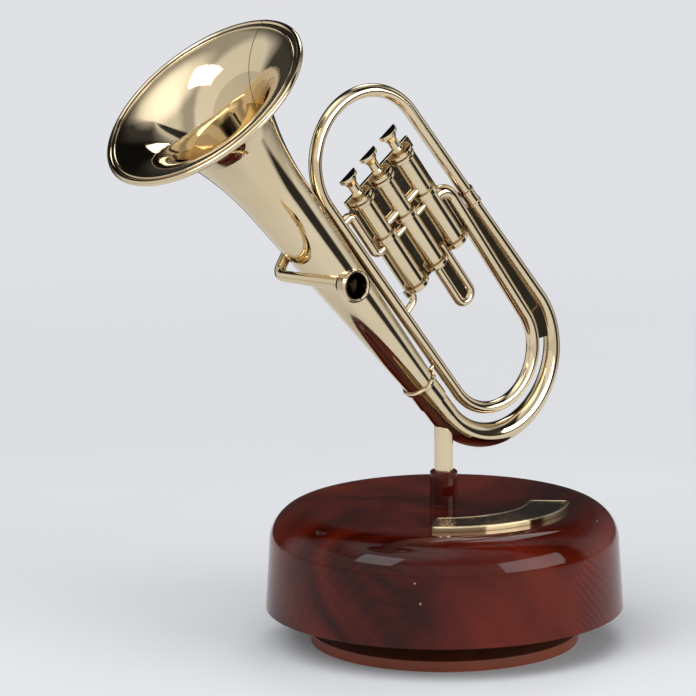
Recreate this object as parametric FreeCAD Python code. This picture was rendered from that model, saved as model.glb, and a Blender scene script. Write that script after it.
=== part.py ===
"""Clockwork music box: a model brass horn on a post over a turned wood-look housing.

The foot stands still. The housing turns on it to wind and to play, and carries
the movement: spring barrel, pinned drum, steel comb and air-brake governor.

Millimetres. +Z is up and Z = 0 is the surface that the foot stands on.
The turning axis is the Z axis, and the horn lies in the XZ plane with its bell
towards -X. The name plate is at the front, -Y.
"""
import FreeCAD
import Part
import math
import os
from FreeCAD import Vector

# Driving dimensions of the foot and the housing
FOOT_RADIUS = 39.3
FOOT_THICKNESS = 3.05
PAD_RADIUS = 35.0
PAD_THICKNESS = 1.0
HUB_RADIUS = 14.0
HUB_GAP = 0.3
HOUSING_RIM_Z = 10.1
HOUSING_RIM_RADIUS = 52.5
HOUSING_HEIGHT = 40.0
SIDE_DRAFT = 1.3
SHOULDER_RADIUS = 10.4
HOUSING_WALL = 2.4
INNER_BEVEL = 5.0
BOSS_RADIUS = 4.05
BOSS_HEIGHT = 10.2
BOSS_CHAMFER = 0.4

# Driving dimensions of the bottom cover and of the screws. A screw's length includes its head
COVER_RECESS = 0.8
COVER_THICKNESS = 2.0
COVER_GAP = 0.15
COVER_SCREW_COUNT = 3
COVER_SCREW_LENGTH = 9.5
SCREW_BOSS_RADIUS = 3.4
SCREW_BOSS_INSET = 1.9
SCREW_HEAD_RADIUS = 2.4
SCREW_HEAD_HEIGHT = 1.2
SCREW_SHANK_RADIUS = 1.2
SCREW_FIT = 0.05
SCREW_TIP_GAP = 0.8
FOOT_SCREW_LENGTH = 9.0

# Driving dimensions of the name plate and the post
PLATE_INNER_RADIUS = 24.5
PLATE_OUTER_RADIUS = 36.8
PLATE_HALF_ANGLE = 46.0
PLATE_THICKNESS = 1.5
PLATE_CORNER = 1.6
PLATE_BEVEL = 0.15
POST_RADIUS = 2.75
POST_SOCKET_DEPTH = 5.0
POST_FIT = 0.05
POST_PAD_DROP = 1.5
POST_SCREW_GRIP = 6.0

# Driving dimensions of the valves. Heights are along the pistons, from the bows' centre
VALVE_LEAN = 37.5
VALVE_PITCH = 9.2
MIDDLE_VALVE_OFFSET = 1.0
CASING_RADIUS = 3.25
UPPER_CASING_RADIUS = 3.0
CASING_RING_RADIUS = 3.75
VALVE_BASE_RADIUS = 4.1
VALVE_BASE_BEVEL = 0.9
VALVE_CAP_RADIUS = 4.1
CAP_FLANGE = 0.9
CAP_GROOVE = 0.5
BUTTON_RADIUS = 3.3
BUTTON_HEAD = 1.0
BUTTON_FLARE = 1.6
BUTTON_NECK_RADIUS = 1.75
BUTTON_STEM_RADIUS = 2.1
BUTTON_STEM_RISE = 0.8
BUTTON_FIT = 0.05
VALVE_BASE_LOW = 34.4
VALVE_BASE_HIGH = 36.5
CASING_RING_LOW = 53.8
CASING_RING_HIGH = 55.4
CASING_TOP = 68.0
VALVE_CAP_TOP = 70.4
BUTTON_TOP = 77.9
LINK_RADIUS = 1.1
LINK_DROP = 1.9
KNUCKLE_RADIUS = 1.3
KNUCKLE_RISE = 1.8

# Driving dimensions of the thin webs behind the valves and between the tubes
WEB_THICKNESS = 1.0
WEB_MARGIN = 4.3
WEB_BAND = 5.1
WEB_RISE = 1.3
TUBE_WEB_TOP = 39.4

# Driving dimensions of the tubes
TUBE_RADIUS = 2.05
OUTER_TUBE_RADIUS = 2.1
OUTER_TUBE_END_RADIUS = 1.85
UPPER_TUBE_RADIUS = 1.9
LEFT_TUBE_RADIUS = 1.75
INNER_TUBE_GAP = 1.1
INNER_TUBE_SHIFT = 0.5
BOW_GAP = 3.4
BOW_DROP = 0.6
BOW_TAPER = 1.2
BOW_SECTIONS = 6
LOOP_STEP = 3.0
FERRULE_LENGTH = 5.4
FERRULE_PROUD = 0.25
FERRULE_RING_PROUD = 0.2
FERRULE_RING_WIDTH = 0.9
FERRULE_PLACE = 0.545
INLET_DROP = 3.0
INLET_BEND = 4.4
SLIDE_BEND = 1.6
FIRST_SLIDE_RADIUS = 1.45
FIRST_SLIDE_GAP = 0.4
FIRST_SLIDE_TOP = 67.6
FIRST_SLIDE_DROP = 1.6
SECOND_SLIDE_BITE = 0.05
SECOND_SLIDE_SHIFT = 0.6
SECOND_SLIDE_END = 18.4
SECOND_SLIDE_REACH = 2.0
OUTLET_RADIUS = 1.05
OUTLET_SHIFT = 3.0
OUTLET_DROP = 2.2
OUTLET_BEND = 2.4
OUTLET_FALL = 10.0
BRACE_THICKNESS = 2.0
BOW_BRACE_START = 6.0
BOW_BRACE_SWEEP = 27.0
RING_BRACE_RADIUS = 0.55

# Where the bell's rim, the loop's left side and the bows' centre lie: (x, height over the top)
BELL_PLACE = (-85.25, 125.1)
LOOP_SIDE_PLACE = (-42.39973, 91.76828)
BOW_PLACE = (18.1, 43.2)

# Driving dimensions of the bell and its stem. Depths are below the bell's rim
BELL_RADIUS = 31.4
BEAD_THICKNESS = 1.9
BEAD_CLOSING = 30.0
BELL_WALL = 1.1
NECK_RADIUS = 13.7
NECK_DEPTH = 14.6
STEM_RADIUS = 9.3
STEM_DEPTH = 38.0
STEM_END_RADIUS = 4.6
THROAT_DEPTH = 46.0
THROAT_STEP = 0.5
RING_WIDTH = 1.5
RING_PROUD = 0.7
RING_BEVEL = 0.4
SLEEVE_LENGTH = 6.5
SLEEVE_RADIUS = 4.6
BOW_START_LENGTH = 6.4
BOW_START_RADIUS = 4.2

# Driving dimensions of the mouthpiece and its pipe, and their places: x, y, height over the top
LEADPIPE_RADIUS = 1.6
LEADPIPE_END_RADIUS = 2.05
LEADPIPE_STRAIGHT = 8.0
PIPE_BEND = 3.2
MOUTHPIECE_RADIUS = 4.8
MOUTHPIECE_LENGTH = 7.6
MOUTHPIECE_COLLAR = 0.4
COLLAR_LENGTH = 1.0
COLLAR_GROOVE = 0.7
CUP_BELLY_RADIUS = 3.9
CUP_BELLY_HEIGHT = 3.4
RIM_WIDTH = 1.3
RIM_ROUNDING = 0.5
RIM_STEP = 0.35
CUP_RADIUS = 3.65
CUP_FLOOR_RADIUS = 3.15
CUP_END_RADIUS = 1.4
CUP_DEPTH = 5.9
CUP_FLOOR_DEPTH = 4.2
MOUTHPIECE_PLACE = (-55.3, -29.5, 74.0)
PIPE_CORNER_PLACE = (-55.8, 6.0, 72.9)
PIPE_ROOT_PLACE = (-50.5, 6.6, 80.4)

# Driving dimensions of the movement's spring, spindle and crown wheel
BEDPLATE_THICKNESS = 2.2
BEDPLATE_LEFT = -17.0
BEDPLATE_BACK = 18.0
BEDPLATE_FRONT = -27.0
BEDPLATE_GAP = 1.8
SPINDLE_RADIUS = 2.0
SPINDLE_SEAT = 4.6
SPINDLE_RISE = 1.4
COLLAR_RADIUS = 2.9
COLLAR_GAP = 0.3
BARREL_RADIUS = 13.0
BARREL_HEIGHT = 7.6
BARREL_WALL = 1.0
SPRING_TURNS = 3
SPRING_THICKNESS = 0.35
SPRING_START_GAP = 0.7
SPRING_END_GAP = 0.3
SPRING_TOP_GAP = 0.6
CROWN_TEETH = 32
CROWN_RADIUS = 12.0
CROWN_TOOTH_LENGTH = 1.95
CROWN_TOOTH_HEIGHT = 1.0
CROWN_TOOTH_ROOT = 0.42
CROWN_TOOTH_TIP = 0.22
CROWN_RIM = 0.05
CROWN_WEB = 1.2
CROWN_GAP = 0.5
CROWN_HUB_RADIUS = 3.4
CROWN_HUB_RISE = 0.6

# Driving dimensions of the drum, its gears and the comb
PINION_TEETH = 8
PINION_WIDTH = 1.6
PINION_TIP = 0.4
PINION_ROOT = 0.62
TOOTH_ROOT = 0.5
TOOTH_TIP = 0.22
ARBOR_RADIUS = 1.0
ARBOR_PROUD = 0.2
DRUM_RADIUS = 6.3
DRUM_LENGTH = 22.8
DRUM_GAP = 0.65
PIN_HEIGHT = 0.7
PIN_WIDTH = 0.5
PIN_SINK = 0.3
PINS_PER_NOTE = 2
PIN_TURN = 137.5
PIN_FIRST_ANGLE = 30.0
NOTE_COUNT = 18
DRUM_WHEEL_TEETH = 32
FINE_MODULE = 0.45
FINE_TIP = 0.3
FINE_ROOT = 0.42
WHEEL_WIDTH = 1.2
WHEEL_GAP = 0.5
COMB_THICKNESS = 1.2
COMB_LENGTH = 17.0
COMB_TIP_GAP = 0.25
COMB_LONG_TOOTH = 9.5
COMB_SHORT_TOOTH = 6.5
COMB_TOOTH_GAP = 0.35
COMB_BLOCK_MARGIN = 0.8
COMB_BLOCK_SIDE = 0.5
COMB_SCREW_SETBACK = 4.2
COMB_SCREW_SPACING = 16.0
COMB_SCREW_LENGTH = 6.0

# Driving dimensions of the governor and of the brackets
GOVERNOR_PINION_TEETH = 8
GOVERNOR_DIRECTION = -27.0
GOVERNOR_ARBOR_RADIUS = 0.6
WORM_WHEEL_TEETH = 12
WORM_WHEEL_WIDTH = 1.0
WORM_WHEEL_TIP = 0.35
WORM_WHEEL_ROOT = 0.55
WORM_MODULE = 0.6
WORM_RADIUS = 1.6
WORM_TURNS = 2
WORM_PLAY = 0.25
WORM_SHOULDER = 1.0
THREAD_DEPTH = 0.5
THREAD_ROOT = 0.38
THREAD_TIP = 0.18
THREAD_SINK = 0.15
PIVOT_RADIUS = 0.5
PIVOT_DEPTH = 0.8
FAN_RADIUS = 2.4
FAN_HEIGHT = 2.6
FAN_HUB_RADIUS = 1.1
FAN_THICKNESS = 0.4
FAN_GAP = 0.4
BRACKET_THICKNESS = 1.4
BRACKET_WIDTH = 7.0
BRACKET_GAP = 0.15
BRACKET_MARGIN = 2.6
LUG_THICKNESS = 1.2
LUG_WIDTH = 2.4
LUG_SETBACK = 2.4
SOLE_THICKNESS = 0.8
WORM_ARM_RISE = 5.8
WORM_ARM_THICKNESS = 1.2
WORM_ARM_WIDTH = 4.0
RUNNING_FIT = 0.06

# A length past every piece, for the shapes that only cut
PAST_ALL = 400.0

ORIGIN = Vector(0, 0, 0)
UP = Vector(0, 0, 1)
DOWN = Vector(0, 0, -1)
ALONG_X = Vector(1, 0, 0)
TO_FRONT = Vector(0, -1, 0)


# Small tools for directions, turned forms and tubes
def over_housing(pair):
    """An (x, height over the housing's top) pair as (x, z)."""
    return pair[0], HOUSING_HEIGHT + pair[1]


def space_point(place):
    """The 3D point of a place given as x, y and height over the housing's top."""
    return Vector(place[0], place[1], HOUSING_HEIGHT + place[2])


def plane_point(pair):
    """The 3D point of an (x, z) pair in the horn's plane."""
    return Vector(pair[0], 0, pair[1])


def leaning(degrees):
    """A unit vector in the horn's plane that leans from +Z towards -X."""
    angle = math.radians(degrees)
    return Vector(-math.sin(angle), 0, math.cos(angle))


def place(shape, origin, axis):
    """Move a shape made on +Z so that its axis starts at origin and follows axis."""
    moved = shape.copy()
    moved.Placement = FreeCAD.Placement(origin, FreeCAD.Rotation(UP, axis))
    return moved


def turned_edges(edges, origin=ORIGIN, axis=UP):
    """Revolve a closed chain of edges in the XZ plane about +Z and place it."""
    face = Part.Face(Part.Wire(edges))
    return place(face.revolve(ORIGIN, UP, 360), origin, axis)


def turned(profile, origin=ORIGIN, axis=UP):
    """Revolve a closed list of (radius, height) points about +Z and place it."""
    points = [Vector(radius, 0, height) for radius, height in profile]
    return turned_edges(Part.makePolygon(points + [points[0]]).Edges, origin, axis)


def rod(radius, start, end):
    """A round bar from one point to another."""
    axis = end - start
    return Part.makeCylinder(radius, axis.Length, start, axis)


def cone(start_radius, end_radius, start, end):
    """A round bar from one point to another that changes its radius on the way."""
    axis = end - start
    return Part.makeCone(start_radius, end_radius, axis.Length, start, axis)


def upright(radius, low, high):
    """A round bar on the turning axis."""
    return rod(radius, UP * low, UP * high)


def largest(shape):
    """The largest solid of a shape that a cut has left in pieces."""
    return max(shape.Solids, key=lambda solid: solid.Volume)


def ring_section(centre, direction, radius):
    """A circle across a tube, as a wire."""
    return Part.Wire(Part.makeCircle(radius, centre, direction))


def line(start, end):
    return Part.LineSegment(start, end).toShape()


def bent_tube(points, bend_radii, radius):
    """A round tube along straight runs joined by arcs that are tangent to them."""
    edges = []
    start = points[0]
    for i, bend in enumerate(bend_radii):
        corner = points[i + 1]
        into = (corner - points[i]).normalize()
        out = (points[i + 2] - corner).normalize()
        half_turn = into.getAngle(out) / 2
        trim = bend * math.tan(half_turn)
        arc_start = corner - into * trim
        arc_end = corner + out * trim
        inward = (out - into).normalize()
        centre = corner + inward * (bend / math.cos(half_turn))
        middle = centre - inward * bend
        edges.append(line(start, arc_start))
        edges.append(Part.Arc(arc_start, middle, arc_end).toShape())
        start = arc_end
    edges.append(line(start, points[-1]))
    path = Part.Wire(edges)
    section = ring_section(points[0], points[1] - points[0], radius)
    return path.makePipeShell([section], True, False)


def on_circle(centre, radius, angle):
    """A point of a circle in the horn's plane. centre is (x, z)."""
    return Vector(centre[0] + radius * math.cos(angle), 0, centre[1] + radius * math.sin(angle))


def circle_heading(angle):
    """The way along a circle in the horn's plane, anticlockwise seen from the front."""
    return Vector(-math.sin(angle), 0, math.cos(angle))


def tapered_bow(centre, bend_radius, start_angle, end_angle, radius_at, sections):
    """A bent cone: a loft through circles whose radius changes along the arc."""
    wires = []
    for i in range(sections + 1):
        share = i / sections
        angle = start_angle + (end_angle - start_angle) * share
        point = on_circle(centre, bend_radius, angle)
        wires.append(ring_section(point, circle_heading(angle), radius_at(share)))
    return Part.makeLoft(wires, True, False)


def outside_tangent(centre_a, radius_a, centre_b, radius_b):
    """The angle of the normal where the common tangent from a to b leaves both circles.

    Both circles lie on the left of the way travelled, seen from the front.
    """
    across = centre_b[0] - centre_a[0]
    rise = centre_b[1] - centre_a[1]
    heading = math.atan2(rise, across)
    return heading - math.acos((radius_a - radius_b) / math.hypot(across, rise))


def unwound(angle, after):
    """The same angle, with whole turns added until it comes after another."""
    while angle < after:
        angle += 2 * math.pi
    return angle


def meeting(start, heading, other_start, other_heading):
    """Where two lines in the horn's plane cross."""
    normal = Vector(-other_heading.z, 0, other_heading.x)
    return start + heading * ((other_start - start).dot(normal) / heading.dot(normal))


# The bends' centres and radii, built outwards from the valves
BELL_CENTRE = over_housing(BELL_PLACE)
BOW_CENTRE = over_housing(BOW_PLACE)
OUTER_BOW_CENTRE = (BOW_CENTRE[0], BOW_CENTRE[1] - BOW_DROP)
FIRST_VALVE = MIDDLE_VALVE_OFFSET - VALVE_PITCH
THIRD_VALVE = MIDDLE_VALVE_OFFSET + VALVE_PITCH
INNER_BOW_RADIUS = THIRD_VALVE + CASING_RADIUS + INNER_TUBE_GAP + TUBE_RADIUS
OUTER_BOW_RADIUS = INNER_BOW_RADIUS + TUBE_RADIUS + BOW_GAP + OUTER_TUBE_RADIUS
LOOP_RADIUS = INNER_BOW_RADIUS + LOOP_STEP
SECOND_SLIDE_RADIUS = VALVE_PITCH / 2 - CASING_RADIUS + SECOND_SLIDE_BITE

# The valves' own directions: up along the pistons, and across from first to third
VALVE_UP = leaning(VALVE_LEAN)
VALVE_ACROSS = Vector(VALVE_UP.z, 0, -VALVE_UP.x)
BOW_POINT = plane_point(BOW_CENTRE)
LOOP_POINT = plane_point(over_housing(LOOP_SIDE_PLACE)) + VALVE_ACROSS * LOOP_RADIUS
LOOP_CENTRE = (LOOP_POINT.x, LOOP_POINT.z)


def valve_point(across, up):
    """A point given along the valves' own directions, from the bows' centre."""
    return BOW_POINT + VALVE_ACROSS * across + VALVE_UP * up


INLET_HEIGHT = CASING_RING_LOW - INLET_DROP
INLET_ACROSS = INNER_BOW_RADIUS + INNER_TUBE_SHIFT
INLET_START = valve_point(INLET_ACROSS, INLET_HEIGHT - INLET_BEND)

# The horn's air path: common tangents of the bends, from the bell inwards
BRANCH_ANGLE = outside_tangent(BELL_CENTRE, 0, OUTER_BOW_CENTRE, OUTER_BOW_RADIUS)
OUTER_ANGLE = outside_tangent(OUTER_BOW_CENTRE, OUTER_BOW_RADIUS, LOOP_CENTRE, LOOP_RADIUS)
LEFT_ANGLE = outside_tangent(LOOP_CENTRE, LOOP_RADIUS, BOW_CENTRE, INNER_BOW_RADIUS)
INNER_ANGLE = outside_tangent(BOW_CENTRE, INNER_BOW_RADIUS, (INLET_START.x, INLET_START.z), 0)
BRANCH_END = on_circle(OUTER_BOW_CENTRE, OUTER_BOW_RADIUS, BRANCH_ANGLE)
OUTER_LOW = on_circle(OUTER_BOW_CENTRE, OUTER_BOW_RADIUS, OUTER_ANGLE)
OUTER_HIGH = on_circle(LOOP_CENTRE, LOOP_RADIUS, OUTER_ANGLE)
LEFT_HIGH = on_circle(LOOP_CENTRE, LOOP_RADIUS, LEFT_ANGLE)
LEFT_LOW = on_circle(BOW_CENTRE, INNER_BOW_RADIUS, LEFT_ANGLE)
LEFT_HEADING = (LEFT_LOW - LEFT_HIGH).normalize()
INNER_LOW = on_circle(BOW_CENTRE, INNER_BOW_RADIUS, INNER_ANGLE)
BELL_POINT = plane_point(BELL_CENTRE)
BELL_AXIS = (BRANCH_END - BELL_POINT).normalize()

# The stem runs from the neck to the ring, which closes on the sleeve
SLEEVE_END = (BRANCH_END - BELL_POINT).Length - BOW_START_LENGTH
SLEEVE_START = SLEEVE_END - SLEEVE_LENGTH
RING_START = SLEEVE_START - RING_WIDTH


# Bell
def arc_on(start, heading, end):
    """The centre and middle of the arc that leaves start along heading and reaches end."""
    across = Vector(-heading.z, 0, heading.x)
    chord = end - start
    radius = chord.dot(chord) / (2 * chord.dot(across))
    centre = start + across * radius
    middle = centre + ((start + end) * 0.5 - centre).normalize() * abs(radius)
    return centre, middle


def make_bell():
    """The flare and stem: one thin shell to the throat, then solid to the ring.

    The outline is two arcs that leave the straight stem smoothly, and the inside
    is the same two arcs one wall further from their centres. A round bead closes
    the rim.
    """
    bead = BEAD_THICKNESS / 2
    closing = math.radians(BEAD_CLOSING)
    bead_centre = Vector(BELL_RADIUS - bead, 0, bead)
    lip = bead_centre + Vector(-math.sin(closing), 0, math.cos(closing)) * bead
    neck = Vector(NECK_RADIUS, 0, NECK_DEPTH)
    stem = Vector(STEM_RADIUS, 0, STEM_DEPTH)
    end = Vector(STEM_END_RADIUS, 0, RING_START)
    heading = (stem - end).normalize()
    low_centre, low_middle = arc_on(stem, heading, neck)
    outward = (low_centre - neck).normalize()
    heading = Vector(outward.z, 0, -outward.x)
    high_centre, high_middle = arc_on(neck, heading, lip)

    def inner(point, centre):
        return point + (point - centre).normalize() * BELL_WALL

    inner_lip = inner(lip, high_centre)
    inner_neck = inner(neck, low_centre)
    inner_stem = inner(stem, low_centre)
    throat = Vector(inner_stem.x - THROAT_STEP, 0, THROAT_DEPTH)
    bottom = UP * THROAT_DEPTH
    foot = UP * RING_START
    edges = [
        Part.Arc(inner_lip, bead_centre + ALONG_X * bead, lip).toShape(),
        Part.Arc(lip, high_middle, neck).toShape(),
        Part.Arc(neck, low_middle, stem).toShape(),
        line(stem, end),
        line(end, foot),
        line(foot, bottom),
        line(bottom, throat),
        line(throat, inner_stem),
        Part.Arc(inner_stem, inner(low_middle, low_centre), inner_neck).toShape(),
        Part.Arc(inner_neck, inner(high_middle, high_centre), inner_lip).toShape(),
    ]
    return turned_edges(edges, BELL_POINT, BELL_AXIS)


def make_branch_ring():
    """The bevelled ring where the stem enters the sleeve."""
    reach = STEM_END_RADIUS + RING_PROUD
    profile = [
        (0, RING_START),
        (reach - RING_BEVEL, RING_START),
        (reach, RING_START + RING_BEVEL),
        (reach, SLEEVE_START - RING_BEVEL),
        (reach - RING_BEVEL, SLEEVE_START),
        (0, SLEEVE_START),
    ]
    return turned(profile, BELL_POINT, BELL_AXIS)


def make_branch_sleeve():
    """The sleeve between the ring and the bow."""
    start = BELL_POINT + BELL_AXIS * SLEEVE_START
    return rod(SLEEVE_RADIUS, start, start + BELL_AXIS * SLEEVE_LENGTH)


# Bows, loop and tubes
def make_outer_bow():
    """The large bow: it narrows from the sleeve round to the outer tube."""
    swell = BOW_START_RADIUS - OUTER_TUBE_RADIUS

    def radius_at(share):
        return OUTER_TUBE_RADIUS + swell * (1 - share) ** BOW_TAPER

    end = unwound(OUTER_ANGLE, BRANCH_ANGLE)
    bend = tapered_bow(OUTER_BOW_CENTRE, OUTER_BOW_RADIUS, BRANCH_ANGLE, end, radius_at, BOW_SECTIONS)
    start = rod(BOW_START_RADIUS, BRANCH_END - BELL_AXIS * BOW_START_LENGTH, BRANCH_END)
    return bend.fuse(start)


def make_inner_bow():
    """The small bow, which widens from the left tube to the inner tube."""
    growth = TUBE_RADIUS - LEFT_TUBE_RADIUS

    def radius_at(share):
        return LEFT_TUBE_RADIUS + growth * share

    end = unwound(INNER_ANGLE, LEFT_ANGLE)
    return tapered_bow(BOW_CENTRE, INNER_BOW_RADIUS, LEFT_ANGLE, end, radius_at, BOW_SECTIONS)


def make_top_loop():
    """The half round loop between the upper and the left tube."""
    face = Part.Face(ring_section(OUTER_HIGH, circle_heading(OUTER_ANGLE), UPPER_TUBE_RADIUS))
    sweep = math.degrees(unwound(LEFT_ANGLE, OUTER_ANGLE) - OUTER_ANGLE)
    return face.revolve(LOOP_POINT, TO_FRONT, sweep)


OUTER_RUN = OUTER_HIGH - OUTER_LOW
OUTER_HEADING = (OUTER_HIGH - OUTER_LOW).normalize()
FERRULE_LOW = OUTER_LOW + OUTER_RUN * FERRULE_PLACE - OUTER_HEADING * (FERRULE_LENGTH / 2)
FERRULE_HIGH = FERRULE_LOW + OUTER_HEADING * FERRULE_LENGTH


def make_outer_ferrule():
    """The joint in the outer tube: a sleeve with a ring at each end."""
    sleeve = UPPER_TUBE_RADIUS + FERRULE_PROUD
    ring = sleeve + FERRULE_RING_PROUD
    profile = [
        (0, 0),
        (ring, 0),
        (ring, FERRULE_RING_WIDTH),
        (sleeve, FERRULE_RING_WIDTH),
        (sleeve, FERRULE_LENGTH - FERRULE_RING_WIDTH),
        (ring, FERRULE_LENGTH - FERRULE_RING_WIDTH),
        (ring, FERRULE_LENGTH),
        (0, FERRULE_LENGTH),
    ]
    return turned(profile, FERRULE_LOW, OUTER_HEADING)


def make_valve_inlet(casing):
    """The quarter bend that brings the inner tube into the third valve's casing."""
    mouth_across = INLET_ACROSS - INLET_BEND
    centre = valve_point(mouth_across, INLET_HEIGHT - INLET_BEND)
    face = Part.Face(ring_section(INLET_START, VALVE_UP, TUBE_RADIUS))
    bend = face.revolve(centre, TO_FRONT, 90)
    mouth = valve_point(mouth_across, INLET_HEIGHT)
    stub = rod(TUBE_RADIUS, mouth, valve_point(THIRD_VALVE, INLET_HEIGHT))
    return bend.fuse(stub).cut(casing).removeSplitter()


# Valves. Each piece is turned whole, and its back is cut flat against the valves' web
def flat_backed(shape):
    """The piece with everything behind the web's front face taken off."""
    corner = Vector(-PAST_ALL / 2, -WEB_THICKNESS / 2, -PAST_ALL / 2)
    return shape.cut(Part.makeBox(PAST_ALL, PAST_ALL, PAST_ALL, corner))


def make_valve_casing(across):
    """Lower casing, ring and upper casing of one valve."""
    profile = [
        (0, VALVE_BASE_HIGH),
        (CASING_RADIUS, VALVE_BASE_HIGH),
        (CASING_RADIUS, CASING_RING_LOW),
        (CASING_RING_RADIUS, CASING_RING_LOW),
        (CASING_RING_RADIUS, CASING_RING_HIGH),
        (UPPER_CASING_RADIUS, CASING_RING_HIGH),
        (UPPER_CASING_RADIUS, CASING_TOP),
        (0, CASING_TOP),
    ]
    return turned(profile, valve_point(across, 0), VALVE_UP)


def make_valve_base(across):
    """The cap under one valve, with a bevelled lower edge."""
    profile = [
        (0, VALVE_BASE_LOW),
        (VALVE_BASE_RADIUS - VALVE_BASE_BEVEL, VALVE_BASE_LOW),
        (VALVE_BASE_RADIUS, VALVE_BASE_LOW + VALVE_BASE_BEVEL),
        (VALVE_BASE_RADIUS, VALVE_BASE_HIGH),
        (0, VALVE_BASE_HIGH),
    ]
    return turned(profile, valve_point(across, 0), VALVE_UP)


def make_valve_cap(across):
    """The top cap: two flanges round a groove, bored for the button's stem."""
    bore = BUTTON_STEM_RADIUS + BUTTON_FIT
    groove = VALVE_CAP_RADIUS - CAP_GROOVE
    profile = [
        (bore, CASING_TOP),
        (VALVE_CAP_RADIUS, CASING_TOP),
        (VALVE_CAP_RADIUS, CASING_TOP + CAP_FLANGE),
        (groove, CASING_TOP + CAP_FLANGE),
        (groove, VALVE_CAP_TOP - CAP_FLANGE),
        (VALVE_CAP_RADIUS, VALVE_CAP_TOP - CAP_FLANGE),
        (VALVE_CAP_RADIUS, VALVE_CAP_TOP),
        (bore, VALVE_CAP_TOP),
    ]
    return turned(profile, valve_point(across, 0), VALVE_UP)


def make_valve_button(across):
    """The finger button: stem, waisted neck and a flared head."""
    neck_low = VALVE_CAP_TOP + BUTTON_STEM_RISE
    head_low = BUTTON_TOP - BUTTON_HEAD
    flare_low = head_low - BUTTON_FLARE
    halfway = (BUTTON_RADIUS + BUTTON_NECK_RADIUS) / 2
    profile = [
        (0, CASING_TOP),
        (BUTTON_STEM_RADIUS, CASING_TOP),
        (BUTTON_STEM_RADIUS, neck_low),
        (BUTTON_NECK_RADIUS, neck_low + BUTTON_STEM_RISE),
        (BUTTON_NECK_RADIUS, flare_low - BUTTON_FLARE / 2),
        (halfway, flare_low + BUTTON_FLARE / 2),
        (BUTTON_RADIUS, head_low),
        (BUTTON_RADIUS, BUTTON_TOP),
        (0, BUTTON_TOP),
    ]
    return turned(profile, valve_point(across, 0), VALVE_UP)


def make_valve_links(casings):
    """Short cross tubes between neighbouring casings, below and above their rings."""
    forward = TO_FRONT * (WEB_THICKNESS / 2)
    heights = [
        (CASING_RING_LOW - LINK_DROP, LINK_RADIUS),
        (CASING_RING_HIGH + KNUCKLE_RISE, KNUCKLE_RADIUS),
    ]
    links = []
    for left in (FIRST_VALVE, MIDDLE_VALVE_OFFSET):
        for height, radius in heights:
            start = valve_point(left, height) + forward
            end = valve_point(left + VALVE_PITCH, height) + forward
            links += flat_backed(rod(radius, start, end).cut(casings)).Solids
    return Part.makeCompound(links)


def make_web(points, thickness):
    """A flat plate in the horn's plane with a closed outline of straight sides."""
    face = Part.Face(Part.makePolygon(points + [points[0]]))
    web = face.extrude(TO_FRONT * thickness)
    web.translate(TO_FRONT * (-thickness / 2))
    return web


def make_valve_web(tubes):
    """The thin plate behind the valves, wider at their caps and bases."""
    band_left = FIRST_VALVE - WEB_BAND
    band_right = THIRD_VALVE + WEB_BAND
    left = FIRST_VALVE - WEB_MARGIN
    right = THIRD_VALVE + WEB_MARGIN
    top = VALVE_CAP_TOP + WEB_RISE
    outline = [
        (band_left, VALVE_BASE_LOW),
        (band_right, VALVE_BASE_LOW),
        (band_right, VALVE_BASE_HIGH),
        (right, VALVE_BASE_HIGH),
        (right, CASING_TOP),
        (band_right, CASING_TOP),
        (band_right, top),
        (band_left, top),
        (band_left, CASING_TOP),
        (left, CASING_TOP),
        (left, VALVE_BASE_HIGH),
        (band_left, VALVE_BASE_HIGH),
    ]
    points = [valve_point(across, up) for across, up in outline]
    return largest(make_web(points, WEB_THICKNESS).cut(tubes))


# Slides and elbow
def make_first_slide(casing, left_tube):
    """The short crook from the left tube down beside the first valve and into it."""
    across = FIRST_VALVE - CASING_RING_RADIUS - FIRST_SLIDE_GAP - FIRST_SLIDE_RADIUS
    top = valve_point(across, FIRST_SLIDE_TOP)
    low = valve_point(across, CASING_RING_LOW - FIRST_SLIDE_DROP)
    points = [
        meeting(top, VALVE_ACROSS, LEFT_HIGH, LEFT_HEADING),
        top,
        low,
        valve_point(FIRST_VALVE, CASING_RING_LOW - FIRST_SLIDE_DROP),
    ]
    return bent_tube(points, [SLIDE_BEND, SLIDE_BEND], FIRST_SLIDE_RADIUS).cut([casing, left_tube])


def make_second_slide(blockers):
    """The long U under the second valve, with a thin web between its legs."""
    left = MIDDLE_VALVE_OFFSET - SECOND_SLIDE_SHIFT
    right = MIDDLE_VALVE_OFFSET + VALVE_PITCH / 2
    bend = (right - left) / 2
    height = SECOND_SLIDE_END + bend
    left_low = valve_point(left, height)
    right_low = valve_point(right, height)
    left_top = valve_point(left, VALVE_BASE_HIGH)
    right_top = valve_point(right, VALVE_BASE_HIGH + SECOND_SLIDE_REACH)
    face = Part.Face(ring_section(left_low, VALVE_UP, SECOND_SLIDE_RADIUS))
    crook = face.revolve(valve_point(left + bend, height), TO_FRONT, 180)
    legs = [rod(SECOND_SLIDE_RADIUS, left_low, left_top), rod(SECOND_SLIDE_RADIUS, right_low, right_top)]
    corners = [left_low, right_low, valve_point(right, VALVE_BASE_LOW), valve_point(left, VALVE_BASE_LOW)]
    web = make_web(corners, WEB_THICKNESS)
    tip = rod(bend, valve_point(left + bend, height) + TO_FRONT * (WEB_THICKNESS / 2),
              valve_point(left + bend, height) - TO_FRONT * (WEB_THICKNESS / 2))
    return largest(crook.fuse(legs + [web, tip]).removeSplitter().cut(blockers))


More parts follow.
